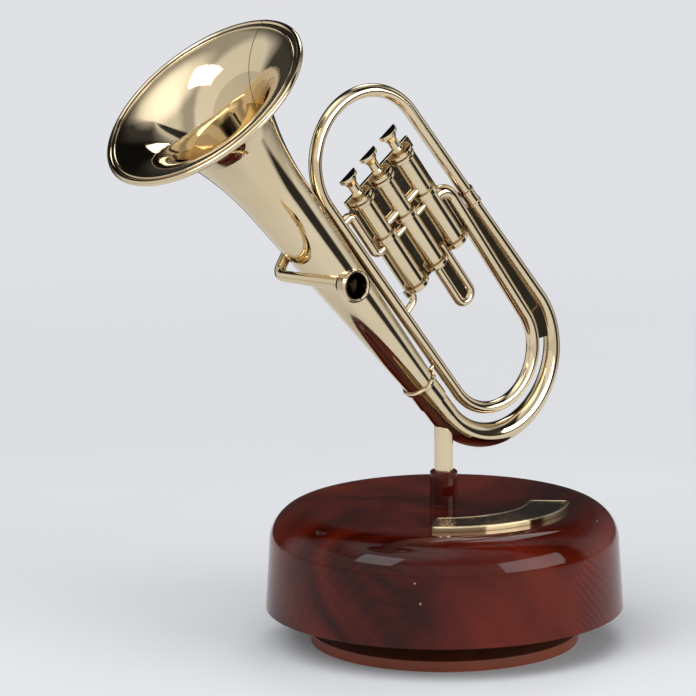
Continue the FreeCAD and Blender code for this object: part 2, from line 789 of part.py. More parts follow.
def make_outlet_elbow(blockers):
    """The elbow from under the first valve into the left tube."""
    across = FIRST_VALVE - OUTLET_SHIFT
    fall = math.radians(OUTLET_FALL)
    low = valve_point(across, VALVE_BASE_LOW - OUTLET_DROP)
    heading = VALVE_ACROSS * -math.cos(fall) - VALVE_UP * math.sin(fall)
    end = meeting(low, heading, LEFT_HIGH, LEFT_HEADING)
    points = [valve_point(across, VALVE_BASE_HIGH), low, end]
    return largest(bent_tube(points, [OUTLET_BEND], OUTLET_RADIUS).cut(blockers))


# Mouthpiece and leadpipe. The pipe leaves the stem's far side and turns to the front
MOUTHPIECE_RIM = space_point(MOUTHPIECE_PLACE)
PIPE_CORNER = space_point(PIPE_CORNER_PLACE)
PIPE_ROOT = space_point(PIPE_ROOT_PLACE)
MOUTHPIECE_AXIS = (MOUTHPIECE_RIM - PIPE_CORNER).normalize()
PIPE_END = MOUTHPIECE_RIM - MOUTHPIECE_AXIS * MOUTHPIECE_LENGTH


def make_mouthpiece():
    """The mouthpiece: collar, groove and flared cup with a stepped round rim."""
    length = MOUTHPIECE_LENGTH
    collar = LEADPIPE_END_RADIUS + MOUTHPIECE_COLLAR
    rim_inside = CUP_RADIUS + RIM_STEP
    rim_low = length - RIM_WIDTH
    profile = [
        (0, 0),
        (collar, 0),
        (collar, COLLAR_LENGTH),
        (LEADPIPE_END_RADIUS, COLLAR_LENGTH),
        (LEADPIPE_END_RADIUS, COLLAR_LENGTH + COLLAR_GROOVE),
        (CUP_BELLY_RADIUS, CUP_BELLY_HEIGHT),
        (MOUTHPIECE_RADIUS - RIM_STEP, rim_low),
        (MOUTHPIECE_RADIUS, rim_low + RIM_ROUNDING),
        (MOUTHPIECE_RADIUS - RIM_STEP, length),
        (rim_inside, length),
        (CUP_RADIUS, length - RIM_STEP),
        (CUP_FLOOR_RADIUS, length - CUP_FLOOR_DEPTH),
        (CUP_END_RADIUS, length - CUP_DEPTH),
        (0, length - CUP_DEPTH),
    ]
    return turned(profile, PIPE_END, MOUTHPIECE_AXIS)


def make_leadpipe(bell):
    """The pipe from the stem's far side, round a corner and forward, where it widens."""
    straight = PIPE_CORNER + MOUTHPIECE_AXIS * LEADPIPE_STRAIGHT
    bent = bent_tube([PIPE_ROOT, PIPE_CORNER, straight], [PIPE_BEND], LEADPIPE_RADIUS)
    widening = cone(LEADPIPE_RADIUS, LEADPIPE_END_RADIUS, straight, PIPE_END)
    return largest(bent.fuse(widening).cut(bell))


# Webs and braces between the tubes
def make_bow_brace(bows):
    """The thick web that ties the two bows together at the right."""
    width = OUTER_BOW_RADIUS - INNER_BOW_RADIUS
    corner = BOW_POINT + ALONG_X * INNER_BOW_RADIUS + TO_FRONT * (BRACE_THICKNESS / 2)
    face = Part.makePlane(width, BRACE_THICKNESS, corner)
    web = face.revolve(BOW_POINT, TO_FRONT, BOW_BRACE_SWEEP)
    web.rotate(BOW_POINT, TO_FRONT, BOW_BRACE_START)
    return largest(web.cut(bows))


def make_tube_web(neighbours):
    """The thin plate that closes the slot between inner and outer tube."""
    angle = math.radians(BOW_BRACE_START + BOW_BRACE_SWEEP)
    top = valve_point(INLET_ACROSS, TUBE_WEB_TOP)
    points = [
        on_circle(BOW_CENTRE, INNER_BOW_RADIUS, angle),
        on_circle(OUTER_BOW_CENTRE, OUTER_BOW_RADIUS, angle),
        OUTER_LOW,
        meeting(top, VALVE_ACROSS, OUTER_LOW, OUTER_HEADING),
        meeting(top, VALVE_ACROSS, INNER_LOW, INLET_START - INNER_LOW),
        INNER_LOW,
    ]
    return largest(make_web(points, WEB_THICKNESS).cut(neighbours))


def make_ring_brace(ring, left_tube):
    """The peg between the stem's ring and the left tube."""
    start = BELL_POINT + BELL_AXIS * (RING_START + RING_WIDTH / 2)
    across = Vector(-BELL_AXIS.z, 0, BELL_AXIS.x)
    peg = rod(RING_BRACE_RADIUS, start, meeting(start, across, LEFT_HIGH, LEFT_HEADING))
    return peg.cut([ring, left_tube])


# Heights and radii that the foot, the housing and the movement share
COVER_LOW = HOUSING_RIM_Z + COVER_RECESS
COVER_TOP = COVER_LOW + COVER_THICKNESS
BEDPLATE_TOP = COVER_TOP + BEDPLATE_THICKNESS
HUB_TOP = COVER_LOW - HUB_GAP
BOSS_TOP = HOUSING_HEIGHT + BOSS_HEIGHT
POST_LOW = BOSS_TOP - POST_SOCKET_DEPTH
CEILING = HOUSING_HEIGHT - HOUSING_WALL
POST_SCREW_SEAT = CEILING - POST_PAD_DROP
SIDE_TOP_RADIUS = HOUSING_RIM_RADIUS - SIDE_DRAFT
SHOULDER_CENTRE = Vector(SIDE_TOP_RADIUS - SHOULDER_RADIUS, 0, HOUSING_HEIGHT - SHOULDER_RADIUS)
INNER_RADIUS = SIDE_TOP_RADIUS - HOUSING_WALL
BEDPLATE_REACH = INNER_RADIUS - BEDPLATE_GAP
COVER_SCREW_CIRCLE = INNER_RADIUS - SCREW_BOSS_RADIUS - SCREW_BOSS_INSET


def screw_hole(point, axis, length):
    """The clearance hole for a screw's shank."""
    return rod(SCREW_SHANK_RADIUS + SCREW_FIT, point, point + axis * length)


def head_recess(point, axis):
    """The counterbore for a screw's head."""
    return rod(SCREW_HEAD_RADIUS + SCREW_FIT, point, point + axis * SCREW_HEAD_HEIGHT)


def make_screw(point, axis, length):
    """A plain screw. point is its head's outer face and axis runs into the work."""
    head = rod(SCREW_HEAD_RADIUS, point, point + axis * SCREW_HEAD_HEIGHT)
    shank = rod(SCREW_SHANK_RADIUS, point, point + axis * length)
    return head.fuse(shank).removeSplitter()


# Foot
def make_foot_disc():
    """The turned disc that stands still, with the hub that the housing turns on."""
    profile = [
        (0, 0),
        (FOOT_RADIUS, 0),
        (FOOT_RADIUS, FOOT_THICKNESS),
        (HUB_RADIUS, FOOT_THICKNESS),
        (HUB_RADIUS, HUB_TOP),
        (0, HUB_TOP),
    ]
    pocket = upright(PAD_RADIUS, 0, PAD_THICKNESS)
    recess = head_recess(UP * PAD_THICKNESS, UP)
    hole = screw_hole(ORIGIN, UP, HUB_TOP)
    socket = upright(SPINDLE_RADIUS + SCREW_FIT, SPINDLE_SEAT, HUB_TOP)
    return turned(profile).cut([pocket, recess, hole, socket])


def make_foot_pad():
    """The felt disc let into the foot's underside, flush with it."""
    return upright(PAD_RADIUS, 0, PAD_THICKNESS)


def make_foot_screw():
    return make_screw(UP * PAD_THICKNESS, UP, FOOT_SCREW_LENGTH)


# Heights in the movement, all from the bedplate's top
BARREL_LOW = BEDPLATE_TOP
BARREL_TOP = BARREL_LOW + BARREL_HEIGHT
CROWN_LOW = BARREL_TOP + CROWN_GAP
CROWN_TOP = CROWN_LOW + CROWN_WEB
CROWN_TIP = CROWN_TOP + CROWN_TOOTH_HEIGHT
CROWN_MEAN = CROWN_RADIUS - (CROWN_TOOTH_LENGTH + CROWN_RIM) / 2
PINION_PITCH_RADIUS = CROWN_MEAN * PINION_TEETH / CROWN_TEETH
DRUM_AXIS_Z = CROWN_TOP + CROWN_TOOTH_HEIGHT / 2 + PINION_PITCH_RADIUS
SPINDLE_TOP = CROWN_TIP + SPINDLE_RISE

# Places along the drum's arbor, from the barrel outwards
PINION_START = CROWN_MEAN - PINION_WIDTH / 2
ARBOR_START = PINION_START - WHEEL_GAP
INNER_BRACKET_X = BARREL_RADIUS + BRACKET_GAP
DRUM_START = INNER_BRACKET_X + BRACKET_THICKNESS + DRUM_GAP
DRUM_WHEEL_START = DRUM_START + DRUM_LENGTH + WHEEL_GAP
WORM_WHEEL_START = DRUM_WHEEL_START + WHEEL_WIDTH + WHEEL_GAP
WORM_X = WORM_WHEEL_START + WORM_WHEEL_WIDTH / 2
OUTER_BRACKET_X = WORM_X + WORM_RADIUS + THREAD_DEPTH
BRACKET_END = OUTER_BRACKET_X + BRACKET_THICKNESS
BEDPLATE_RIGHT = BRACKET_END + BEDPLATE_GAP
LUG_X = DRUM_WHEEL_START - LUG_SETBACK

# The governor's arbor lies beside and below the drum's, and the worm beside its wheel
GEAR_DISTANCE = FINE_MODULE * (DRUM_WHEEL_TEETH + GOVERNOR_PINION_TEETH) / 2
GOVERNOR_Y = GEAR_DISTANCE * math.cos(math.radians(GOVERNOR_DIRECTION))
GOVERNOR_Z = DRUM_AXIS_Z + GEAR_DISTANCE * math.sin(math.radians(GOVERNOR_DIRECTION))
WORM_WHEEL_RADIUS = WORM_WHEEL_TEETH * WORM_MODULE / 2
WORM_Y = GOVERNOR_Y + WORM_WHEEL_RADIUS + WORM_RADIUS + WORM_PLAY
WORM_LEAD = math.pi * WORM_MODULE
WORM_LENGTH = WORM_LEAD * WORM_TURNS
WORM_ARM_LOW = GOVERNOR_Z + WORM_ARM_RISE
WORM_ARM_TOP = WORM_ARM_LOW + WORM_ARM_THICKNESS
FAN_LOW = WORM_ARM_TOP + FAN_GAP


def on_arbor(x):
    """A point of the drum's axis."""
    return Vector(x, 0, DRUM_AXIS_Z)


def on_governor(x):
    """A point of the governor's axis."""
    return Vector(x, GOVERNOR_Y, GOVERNOR_Z)


def on_worm(z):
    """A point of the worm's axis."""
    return Vector(WORM_X, WORM_Y, z)


def make_spindle():
    """The winding spindle: from the foot's hub up through the barrel to the crown wheel."""
    shaft = upright(SPINDLE_RADIUS, SPINDLE_SEAT, SPINDLE_TOP)
    collar_low = BARREL_LOW + BARREL_WALL + COLLAR_GAP
    collar = upright(COLLAR_RADIUS, collar_low, BARREL_TOP - BARREL_WALL - COLLAR_GAP)
    hole_top = PAD_THICKNESS + FOOT_SCREW_LENGTH + SCREW_TIP_GAP
    hole = screw_hole(UP * SPINDLE_SEAT, UP, hole_top - SPINDLE_SEAT)
    return shaft.fuse(collar).removeSplitter().cut(hole)


def make_crown_wheel():
    """The wheel on the spindle, with teeth standing up round its edge."""
    disc = upright(CROWN_RADIUS, CROWN_LOW, CROWN_TOP)
    inner = CROWN_RADIUS - CROWN_RIM - CROWN_TOOTH_LENGTH
    pitch = 2 * math.pi * CROWN_MEAN / CROWN_TEETH
    root = pitch * CROWN_TOOTH_ROOT / 2
    tip = pitch * CROWN_TOOTH_TIP / 2
    teeth = []
    for i in range(CROWN_TEETH):
        points = [
            Vector(inner, -root, CROWN_TOP),
            Vector(inner, root, CROWN_TOP),
            Vector(inner, tip, CROWN_TIP),
            Vector(inner, -tip, CROWN_TIP),
        ]
        face = Part.Face(Part.makePolygon(points + [points[0]]))
        tooth = face.extrude(ALONG_X * CROWN_TOOTH_LENGTH)
        tooth.rotate(ORIGIN, UP, (i + 0.5) * 360 / CROWN_TEETH)
        teeth.append(tooth)
    hub = upright(CROWN_HUB_RADIUS, CROWN_TOP, CROWN_TIP + CROWN_HUB_RISE)
    bore = upright(SPINDLE_RADIUS, CROWN_LOW, SPINDLE_TOP)
    return disc.fuse(teeth + [hub]).cut(bore).removeSplitter()


def spur_gear(teeth, module, tip_height, root_depth, start, width, first_tooth=0.0):
    """A straight gear about an axis along +X. first_tooth is its angle from +Y to +Z."""
    pitch_radius = teeth * module / 2
    tip = pitch_radius + tip_height
    root = pitch_radius - root_depth
    step = 2 * math.pi / teeth
    root_half = step * TOOTH_ROOT / 2
    tip_half = step * TOOTH_TIP / 2
    corners = [(root, -root_half), (tip, -tip_half), (tip, tip_half), (root, root_half)]
    points = []
    for i in range(teeth):
        for radius, offset in corners:
            angle = i * step + offset
            points.append(Vector(0, radius * math.cos(angle), radius * math.sin(angle)))
    outline = Part.Face(Part.makePolygon(points + [points[0]]))
    gear = outline.extrude(ALONG_X * width)
    gear.rotate(ORIGIN, ALONG_X, first_tooth)
    gear.translate(start)
    return gear


def make_drum():
    """The music cylinder with one ring of pins for each comb tooth."""
    start = on_arbor(DRUM_START)
    end = on_arbor(DRUM_START + DRUM_LENGTH)
    body = rod(DRUM_RADIUS, start, end).cut(rod(ARBOR_RADIUS, start, end))
    spacing = DRUM_LENGTH / NOTE_COUNT
    corner = Vector(-PIN_WIDTH / 2, -PIN_WIDTH / 2, 0)
    pins = []
    for i in range(NOTE_COUNT * PINS_PER_NOTE):
        note, beat = divmod(i, PINS_PER_NOTE)
        angle = math.radians(note * PIN_TURN + beat * 360 / PINS_PER_NOTE + PIN_FIRST_ANGLE)
        outward = Vector(0, math.cos(angle), math.sin(angle))
        foot = start + ALONG_X * (spacing * (note + 0.5)) + outward * (DRUM_RADIUS - PIN_SINK)
        pin = Part.makeBox(PIN_WIDTH, PIN_WIDTH, PIN_HEIGHT + PIN_SINK, corner)
        pins.append(place(pin, foot, outward))
    return body.fuse(pins)


def make_drum_arbor():
    """The drum's arbor with the pinion that the crown wheel drives cut on its end."""
    arbor = rod(ARBOR_RADIUS, on_arbor(ARBOR_START), on_arbor(BRACKET_END + ARBOR_PROUD))
    module = 2 * PINION_PITCH_RADIUS / PINION_TEETH
    pinion = spur_gear(PINION_TEETH, module, PINION_TIP, PINION_ROOT,
                       on_arbor(PINION_START), PINION_WIDTH, -90)
    return arbor.fuse(pinion).removeSplitter()


def make_drum_wheel():
    """The fine gear at the drum's outer end."""
    start = on_arbor(DRUM_WHEEL_START)
    gear = spur_gear(DRUM_WHEEL_TEETH, FINE_MODULE, FINE_TIP, FINE_ROOT, start, WHEEL_WIDTH)
    return gear.cut(rod(ARBOR_RADIUS, start, on_arbor(DRUM_WHEEL_START + WHEEL_WIDTH)))


def make_governor_wheel():
    """The governor's arbor with its pinion and worm wheel."""
    tooth_at_mesh = GOVERNOR_DIRECTION / (360 / DRUM_WHEEL_TEETH)
    share = tooth_at_mesh - math.floor(tooth_at_mesh)
    pinion_angle = GOVERNOR_DIRECTION + 180 + (0.5 + share) * 360 / GOVERNOR_PINION_TEETH
    pinion = spur_gear(GOVERNOR_PINION_TEETH, FINE_MODULE, FINE_TIP, FINE_ROOT,
                       on_governor(DRUM_WHEEL_START), WHEEL_WIDTH, pinion_angle)
    wheel = spur_gear(WORM_WHEEL_TEETH, WORM_MODULE, WORM_WHEEL_TIP, WORM_WHEEL_ROOT,
                      on_governor(WORM_WHEEL_START), WORM_WHEEL_WIDTH, 180 / WORM_WHEEL_TEETH)
    arbor = rod(GOVERNOR_ARBOR_RADIUS, on_governor(LUG_X - ARBOR_PROUD), on_governor(BRACKET_END))
    return arbor.fuse([pinion, wheel]).removeSplitter()


def make_worm():
    """The upright worm: a single helical thread on a slim shaft."""
    low = GOVERNOR_Z - WORM_LENGTH / 2
    core = WORM_RADIUS - THREAD_DEPTH / 2
    root = WORM_LEAD * THREAD_ROOT / 2
    tip = WORM_LEAD * THREAD_TIP / 2
    section = [
        Vector(core - THREAD_SINK, 0, -root),
        Vector(core + THREAD_DEPTH, 0, -tip),
        Vector(core + THREAD_DEPTH, 0, tip),
        Vector(core - THREAD_SINK, 0, root),
    ]
    helix = Part.Wire(Part.makeHelix(WORM_LEAD, WORM_LENGTH, core))
    thread = helix.makePipeShell([Part.makePolygon(section + [section[0]])], True, True)
    thread.rotate(ORIGIN, UP, -90)
    thread.translate(on_worm(low))
    shaft = rod(core, on_worm(low - WORM_SHOULDER), on_worm(low + WORM_LENGTH + WORM_SHOULDER))
    pivots = rod(PIVOT_RADIUS, on_worm(BEDPLATE_TOP - PIVOT_DEPTH), on_worm(FAN_LOW + FAN_HEIGHT))
    return shaft.fuse([thread, pivots])


def make_fan():
    """The air brake: two flat wings on a hub pressed over the worm's top pivot."""
    top = on_worm(FAN_LOW + FAN_HEIGHT)
    hub = rod(FAN_HUB_RADIUS, on_worm(FAN_LOW), top)
    corner = on_worm(FAN_LOW) - Vector(FAN_RADIUS, FAN_THICKNESS / 2, 0)
    wings = Part.makeBox(2 * FAN_RADIUS, FAN_THICKNESS, FAN_HEIGHT, corner)
    return hub.fuse(wings).cut(rod(PIVOT_RADIUS, on_worm(FAN_LOW), top)).removeSplitter()


# Movement frame and comb
COMB_LOW = DRUM_AXIS_Z - COMB_THICKNESS / 2
COMB_FRONT = -(DRUM_RADIUS + PIN_HEIGHT + COMB_TIP_GAP)
TOOTH_END = COMB_FRONT - COMB_LONG_TOOTH


def comb_screw_points():
    """The comb screws' places on top of the comb's block."""
    middle = Vector(DRUM_START + DRUM_LENGTH / 2, TOOTH_END - COMB_SCREW_SETBACK, COMB_LOW)
    return [middle + ALONG_X * (side * COMB_SCREW_SPACING / 2) for side in (-1, 1)]


def make_bedplate():
    """The cast bedplate with the raised block that carries the comb."""
    depth = BEDPLATE_BACK - BEDPLATE_FRONT
    plate = Part.makeBox(BEDPLATE_RIGHT - BEDPLATE_LEFT, depth, BEDPLATE_THICKNESS,
                         Vector(BEDPLATE_LEFT, BEDPLATE_FRONT, COVER_TOP))
    block_depth = TOOTH_END - COMB_BLOCK_MARGIN - BEDPLATE_FRONT
    block = Part.makeBox(DRUM_LENGTH + 2 * COMB_BLOCK_SIDE, block_depth, COMB_LOW - BEDPLATE_TOP,
                         Vector(DRUM_START - COMB_BLOCK_SIDE, BEDPLATE_FRONT, BEDPLATE_TOP))
    body = plate.fuse(block).common(upright(BEDPLATE_REACH, COVER_TOP, COMB_LOW))
    holes = [
        upright(SPINDLE_RADIUS + RUNNING_FIT, COVER_TOP, BEDPLATE_TOP),
        rod(PIVOT_RADIUS + RUNNING_FIT, on_worm(COVER_TOP + PIVOT_DEPTH), on_worm(BEDPLATE_TOP)),
    ]
    for point in comb_screw_points():
        depth = COMB_SCREW_LENGTH - SCREW_HEAD_HEIGHT - COMB_THICKNESS + SCREW_TIP_GAP
        holes.append(screw_hole(point, DOWN, depth))
    return body.cut(holes).removeSplitter()


def make_comb():
    """The steel comb: one tooth for each note, shortest at the outer end."""
    corner = Vector(DRUM_START, COMB_FRONT - COMB_LENGTH, COMB_LOW)
    plate = Part.makeBox(DRUM_LENGTH, COMB_LENGTH, COMB_THICKNESS, corner)
    spacing = DRUM_LENGTH / NOTE_COUNT
    cuts = []
    for gap in range(1, NOTE_COUNT):
        x = DRUM_START + gap * spacing - COMB_TOOTH_GAP / 2
        length = COMB_LONG_TOOTH - (COMB_LONG_TOOTH - COMB_SHORT_TOOTH) * gap / NOTE_COUNT
        slot = Part.makeBox(COMB_TOOTH_GAP, length, COMB_THICKNESS, Vector(x, COMB_FRONT - length, COMB_LOW))
        cuts.append(slot)
    for point in comb_screw_points():
        cuts.append(screw_hole(point, UP, COMB_THICKNESS))
    return plate.cut(cuts).common(upright(BEDPLATE_REACH, COMB_LOW, COMB_LOW + COMB_THICKNESS))


def make_comb_screws():
    head_top = UP * (COMB_THICKNESS + SCREW_HEAD_HEIGHT)
    screws = [make_screw(point + head_top, DOWN, COMB_SCREW_LENGTH) for point in comb_screw_points()]
    return Part.makeCompound(screws)


def make_barrel():
    """The spring's drum-shaped case, closed above and below round the spindle."""
    inside = upright(BARREL_RADIUS - BARREL_WALL, BARREL_LOW + BARREL_WALL, BARREL_TOP - BARREL_WALL)
    bore = upright(SPINDLE_RADIUS + RUNNING_FIT, BARREL_LOW, BARREL_TOP)
    return upright(BARREL_RADIUS, BARREL_LOW, BARREL_TOP).cut([inside, bore])


def spiral_edges(start_radius, growth):
    """A spiral of half circles about two centres, starting on +X."""
    edges = []
    radius = start_radius
    centre_x = 0.0
    for half in range(2 * SPRING_TURNS):
        side = 1 if half % 2 == 0 else -1
        centre = Vector(centre_x, 0, 0)
        reach = Vector(side * radius, 0, 0)
        middle = centre + Vector(0, side * radius, 0)
        edges.append(Part.Arc(centre + reach, middle, centre - reach).toShape())
        centre_x += side * growth / 2
        radius += growth / 2
    return edges


def make_mainspring():
    """The flat coiled spring, wound loosely in the barrel."""
    inner_radius = COLLAR_RADIUS + SPRING_START_GAP
    room = BARREL_RADIUS - BARREL_WALL - inner_radius - SPRING_THICKNESS - SPRING_END_GAP
    growth = room / SPRING_TURNS
    inside = spiral_edges(inner_radius, growth)
    outside = spiral_edges(inner_radius + SPRING_THICKNESS, growth)
    start = line(inside[0].Vertexes[0].Point, outside[0].Vertexes[0].Point)
    end = line(inside[-1].Vertexes[1].Point, outside[-1].Vertexes[1].Point)
    edges = Part.__sortEdges__(inside + [end] + outside + [start])
    spring = Part.Face(Part.Wire(edges)).extrude(UP * (BARREL_HEIGHT - 2 * BARREL_WALL - SPRING_TOP_GAP))
    spring.translate(UP * (BARREL_LOW + BARREL_WALL))
    return spring


def make_drum_bracket():
    """The inner bracket, between the barrel and the drum."""
    height = DRUM_AXIS_Z + BRACKET_MARGIN - BEDPLATE_TOP
    corner = Vector(INNER_BRACKET_X, -BRACKET_WIDTH / 2, BEDPLATE_TOP)
    bracket = Part.makeBox(BRACKET_THICKNESS, BRACKET_WIDTH, height, corner)
    end = on_arbor(INNER_BRACKET_X + BRACKET_THICKNESS)
    return bracket.cut(rod(ARBOR_RADIUS + RUNNING_FIT, on_arbor(INNER_BRACKET_X), end))


def make_governor_frame():
    """The outer bracket: it carries both arbors' ends and the worm's top pivot."""
    front = -BRACKET_WIDTH / 2
    back = WORM_Y + WORM_ARM_WIDTH / 2
    plate = Part.makeBox(BRACKET_THICKNESS, back - front, WORM_ARM_TOP - BEDPLATE_TOP,
                         Vector(OUTER_BRACKET_X, front, BEDPLATE_TOP))
    arm_corner = on_worm(WORM_ARM_LOW) - Vector(WORM_ARM_WIDTH / 2, WORM_ARM_WIDTH / 2, 0)
    arm = Part.makeBox(OUTER_BRACKET_X - arm_corner.x, WORM_ARM_WIDTH, WORM_ARM_THICKNESS, arm_corner)
    frame = plate.fuse(arm).common(upright(BEDPLATE_REACH, BEDPLATE_TOP, WORM_ARM_TOP))
    lug_corner = Vector(LUG_X, GOVERNOR_Y - LUG_WIDTH / 2, BEDPLATE_TOP)
    lug_height = GOVERNOR_Z + LUG_WIDTH / 2 - BEDPLATE_TOP
    lug = Part.makeBox(LUG_THICKNESS, LUG_WIDTH, lug_height, lug_corner)
    sole = Part.makeBox(OUTER_BRACKET_X - LUG_X, LUG_WIDTH, SOLE_THICKNESS, lug_corner)
    holes = [
        rod(ARBOR_RADIUS + RUNNING_FIT, on_arbor(OUTER_BRACKET_X), on_arbor(BRACKET_END)),
        rod(GOVERNOR_ARBOR_RADIUS + RUNNING_FIT, on_governor(LUG_X), on_governor(BRACKET_END)),
        rod(PIVOT_RADIUS + RUNNING_FIT, on_worm(WORM_ARM_LOW), on_worm(WORM_ARM_TOP)),
    ]
    return frame.fuse([lug, sole]).cut(holes).removeSplitter()


# Housing
def cover_screw_points():
    """The cover screws' places round the housing, clear of the bedplate."""
    points = []
    for i in range(COVER_SCREW_COUNT):
        angle = math.pi + i * 2 * math.pi / COVER_SCREW_COUNT
        points.append(Vector(math.cos(angle), math.sin(angle), 0) * COVER_SCREW_CIRCLE)
    return points


def make_housing():
    """The moulded housing: tapering side, rounded shoulder, flat top and the post's boss."""
    rim = Vector(HOUSING_RIM_RADIUS, 0, HOUSING_RIM_Z)
    side_top = SHOULDER_CENTRE + ALONG_X * SHOULDER_RADIUS
    flat_edge = SHOULDER_CENTRE + UP * SHOULDER_RADIUS
    middle = SHOULDER_CENTRE + Vector(1, 0, 1).normalize() * SHOULDER_RADIUS
    inner_rim = rim - ALONG_X * HOUSING_WALL
    inner_low = side_top - ALONG_X * HOUSING_WALL + UP * (INNER_BEVEL / 2)
    inner_high = Vector(inner_low.x - INNER_BEVEL, 0, CEILING)
    edges = [
        line(UP * HOUSING_HEIGHT, flat_edge),
        Part.Arc(flat_edge, middle, side_top).toShape(),
        line(side_top, rim),
        line(rim, inner_rim),
        line(inner_rim, inner_low),
        line(inner_low, inner_high),
        line(inner_high, UP * CEILING),
        line(UP * CEILING, UP * HOUSING_HEIGHT),
    ]
    boss = [
        (0, POST_SCREW_SEAT),
        (BOSS_RADIUS, POST_SCREW_SEAT),
        (BOSS_RADIUS, BOSS_TOP - BOSS_CHAMFER),
        (BOSS_RADIUS - BOSS_CHAMFER, BOSS_TOP),
        (0, BOSS_TOP),
    ]
    bosses = [turned(boss)]
    holes = [
        upright(POST_RADIUS + POST_FIT, POST_LOW, BOSS_TOP),
        screw_hole(UP * POST_SCREW_SEAT, UP, POST_LOW - POST_SCREW_SEAT),
    ]
    boss_top = CEILING + HOUSING_WALL / 2
    for point in cover_screw_points():
        bosses.append(rod(SCREW_BOSS_RADIUS, point + UP * COVER_TOP, point + UP * boss_top))
        depth = COVER_SCREW_LENGTH - COVER_THICKNESS + SCREW_TIP_GAP
        holes.append(screw_hole(point + UP * COVER_TOP, UP, depth))
    return turned_edges(edges).fuse(bosses).cut(holes).removeSplitter()


def make_bottom_cover():
    """The black cover under the housing, with the spindle's hole."""
    slope = SIDE_DRAFT / (SHOULDER_CENTRE.z - HOUSING_RIM_Z)
    inner_radius = HOUSING_RIM_RADIUS - HOUSING_WALL - slope * (COVER_TOP - HOUSING_RIM_Z)
    holes = [upright(SPINDLE_RADIUS + RUNNING_FIT, COVER_LOW, COVER_TOP)]
    for point in cover_screw_points():
        holes.append(head_recess(point + UP * COVER_LOW, UP))
        holes.append(screw_hole(point + UP * COVER_LOW, UP, COVER_THICKNESS))
    return upright(inner_radius - COVER_GAP, COVER_LOW, COVER_TOP).cut(holes)


def make_cover_screws():
    points = [point + UP * COVER_LOW for point in cover_screw_points()]
    return Part.makeCompound([make_screw(point, UP, COVER_SCREW_LENGTH) for point in points])


def make_name_plate():
    """The bare curved plate on the housing's top, at the front."""
    half = math.radians(PLATE_HALF_ANGLE)
    top = HOUSING_HEIGHT + PLATE_THICKNESS

    def at(radius, angle):
        return Vector(radius * math.sin(angle), -radius * math.cos(angle), HOUSING_HEIGHT)

    outer = [at(PLATE_OUTER_RADIUS, angle) for angle in (-half, 0, half)]
    inner = [at(PLATE_INNER_RADIUS, angle) for angle in (half, 0, -half)]
    edges = [
        Part.Arc(*outer).toShape(),
        line(outer[-1], inner[0]),
        Part.Arc(*inner).toShape(),
        line(inner[-1], outer[0]),
    ]
    plate = Part.Face(Part.Wire(edges)).extrude(UP * PLATE_THICKNESS)
    corners = [edge for edge in plate.Edges if edge.BoundBox.ZLength > PLATE_THICKNESS / 2]
    plate = plate.makeFillet(PLATE_CORNER, corners)
    rim = [edge for edge in plate.Edges if edge.BoundBox.ZMin > top - PLATE_BEVEL]
    return plate.makeChamfer(PLATE_BEVEL, rim)


def make_post(bow, sleeve):
    """The post: seated in the boss, tapped for its screw and saddled to the bow."""
    hole = screw_hole(UP * POST_LOW, UP, POST_SCREW_GRIP + SCREW_TIP_GAP)
    return largest(upright(POST_RADIUS, POST_LOW, BRANCH_END.z).cut([hole, bow, sleeve]))


def make_post_screw():
    """The screw from inside the housing up into the post."""
    low = POST_SCREW_SEAT - SCREW_HEAD_HEIGHT
    return make_screw(UP * low, UP, POST_LOW + POST_SCREW_GRIP - low)


def build_valves(nodes):
    """The valves with their links, slides and web, added to the horn's nodes."""
    casings = []
    bases = []
    for i, across in enumerate((FIRST_VALVE, MIDDLE_VALVE_OFFSET, THIRD_VALVE), 1):
        casings.append(make_valve_casing(across))
        bases.append(make_valve_base(across))
        nodes[f"valve_casing_{i}"] = flat_backed(casings[-1])
        nodes[f"valve_base_{i}"] = flat_backed(bases[-1])
        nodes[f"valve_cap_{i}"] = flat_backed(make_valve_cap(across))
        nodes[f"valve_button_{i}"] = flat_backed(make_valve_button(across))
    nodes["valve_links"] = make_valve_links(casings)
    nodes["valve_inlet"] = make_valve_inlet(casings[-1])
    nodes["first_slide"] = make_first_slide(casings[0], nodes["left_tube"])
    nodes["second_slide"] = make_second_slide(casings + bases)
    nodes["outlet_elbow"] = make_outlet_elbow([casings[0], bases[0], nodes["left_tube"]])
    tubes = ["inner_tube", "valve_inlet", "first_slide", "second_slide", "outlet_elbow"]
    nodes["valve_web"] = make_valve_web([nodes[name] for name in tubes])


def build_horn():
    """All pieces of the horn, by node name."""
    nodes = {
        "bell": make_bell(),
        "branch_ring": make_branch_ring(),
        "branch_sleeve": make_branch_sleeve(),
        "outer_bow": make_outer_bow(),
        "outer_tube": cone(OUTER_TUBE_RADIUS, OUTER_TUBE_END_RADIUS, OUTER_LOW, FERRULE_LOW),
        "outer_ferrule": make_outer_ferrule(),
        "upper_tube": rod(UPPER_TUBE_RADIUS, FERRULE_HIGH, OUTER_HIGH),
        "top_loop": make_top_loop(),
        "left_tube": cone(UPPER_TUBE_RADIUS, LEFT_TUBE_RADIUS, LEFT_HIGH, LEFT_LOW),
        "inner_bow": make_inner_bow(),
        "inner_tube": rod(TUBE_RADIUS, INNER_LOW, INLET_START),
        "mouthpiece": make_mouthpiece(),
    }
    build_valves(nodes)
    bows = [nodes["outer_bow"], nodes["inner_bow"]]
    tubes = [nodes["outer_tube"], nodes["inner_tube"], nodes["outer_ferrule"]]
    nodes["leadpipe"] = make_leadpipe(nodes["bell"])
    nodes["bow_brace"] = make_bow_brace(bows)
    nodes["tube_web"] = make_tube_web(bows + tubes + [nodes["bow_brace"]])
    nodes["ring_brace"] = make_ring_brace(nodes["branch_ring"], nodes["left_tube"])
    nodes["post"] = make_post(nodes["outer_bow"], nodes["branch_sleeve"])
    return nodes


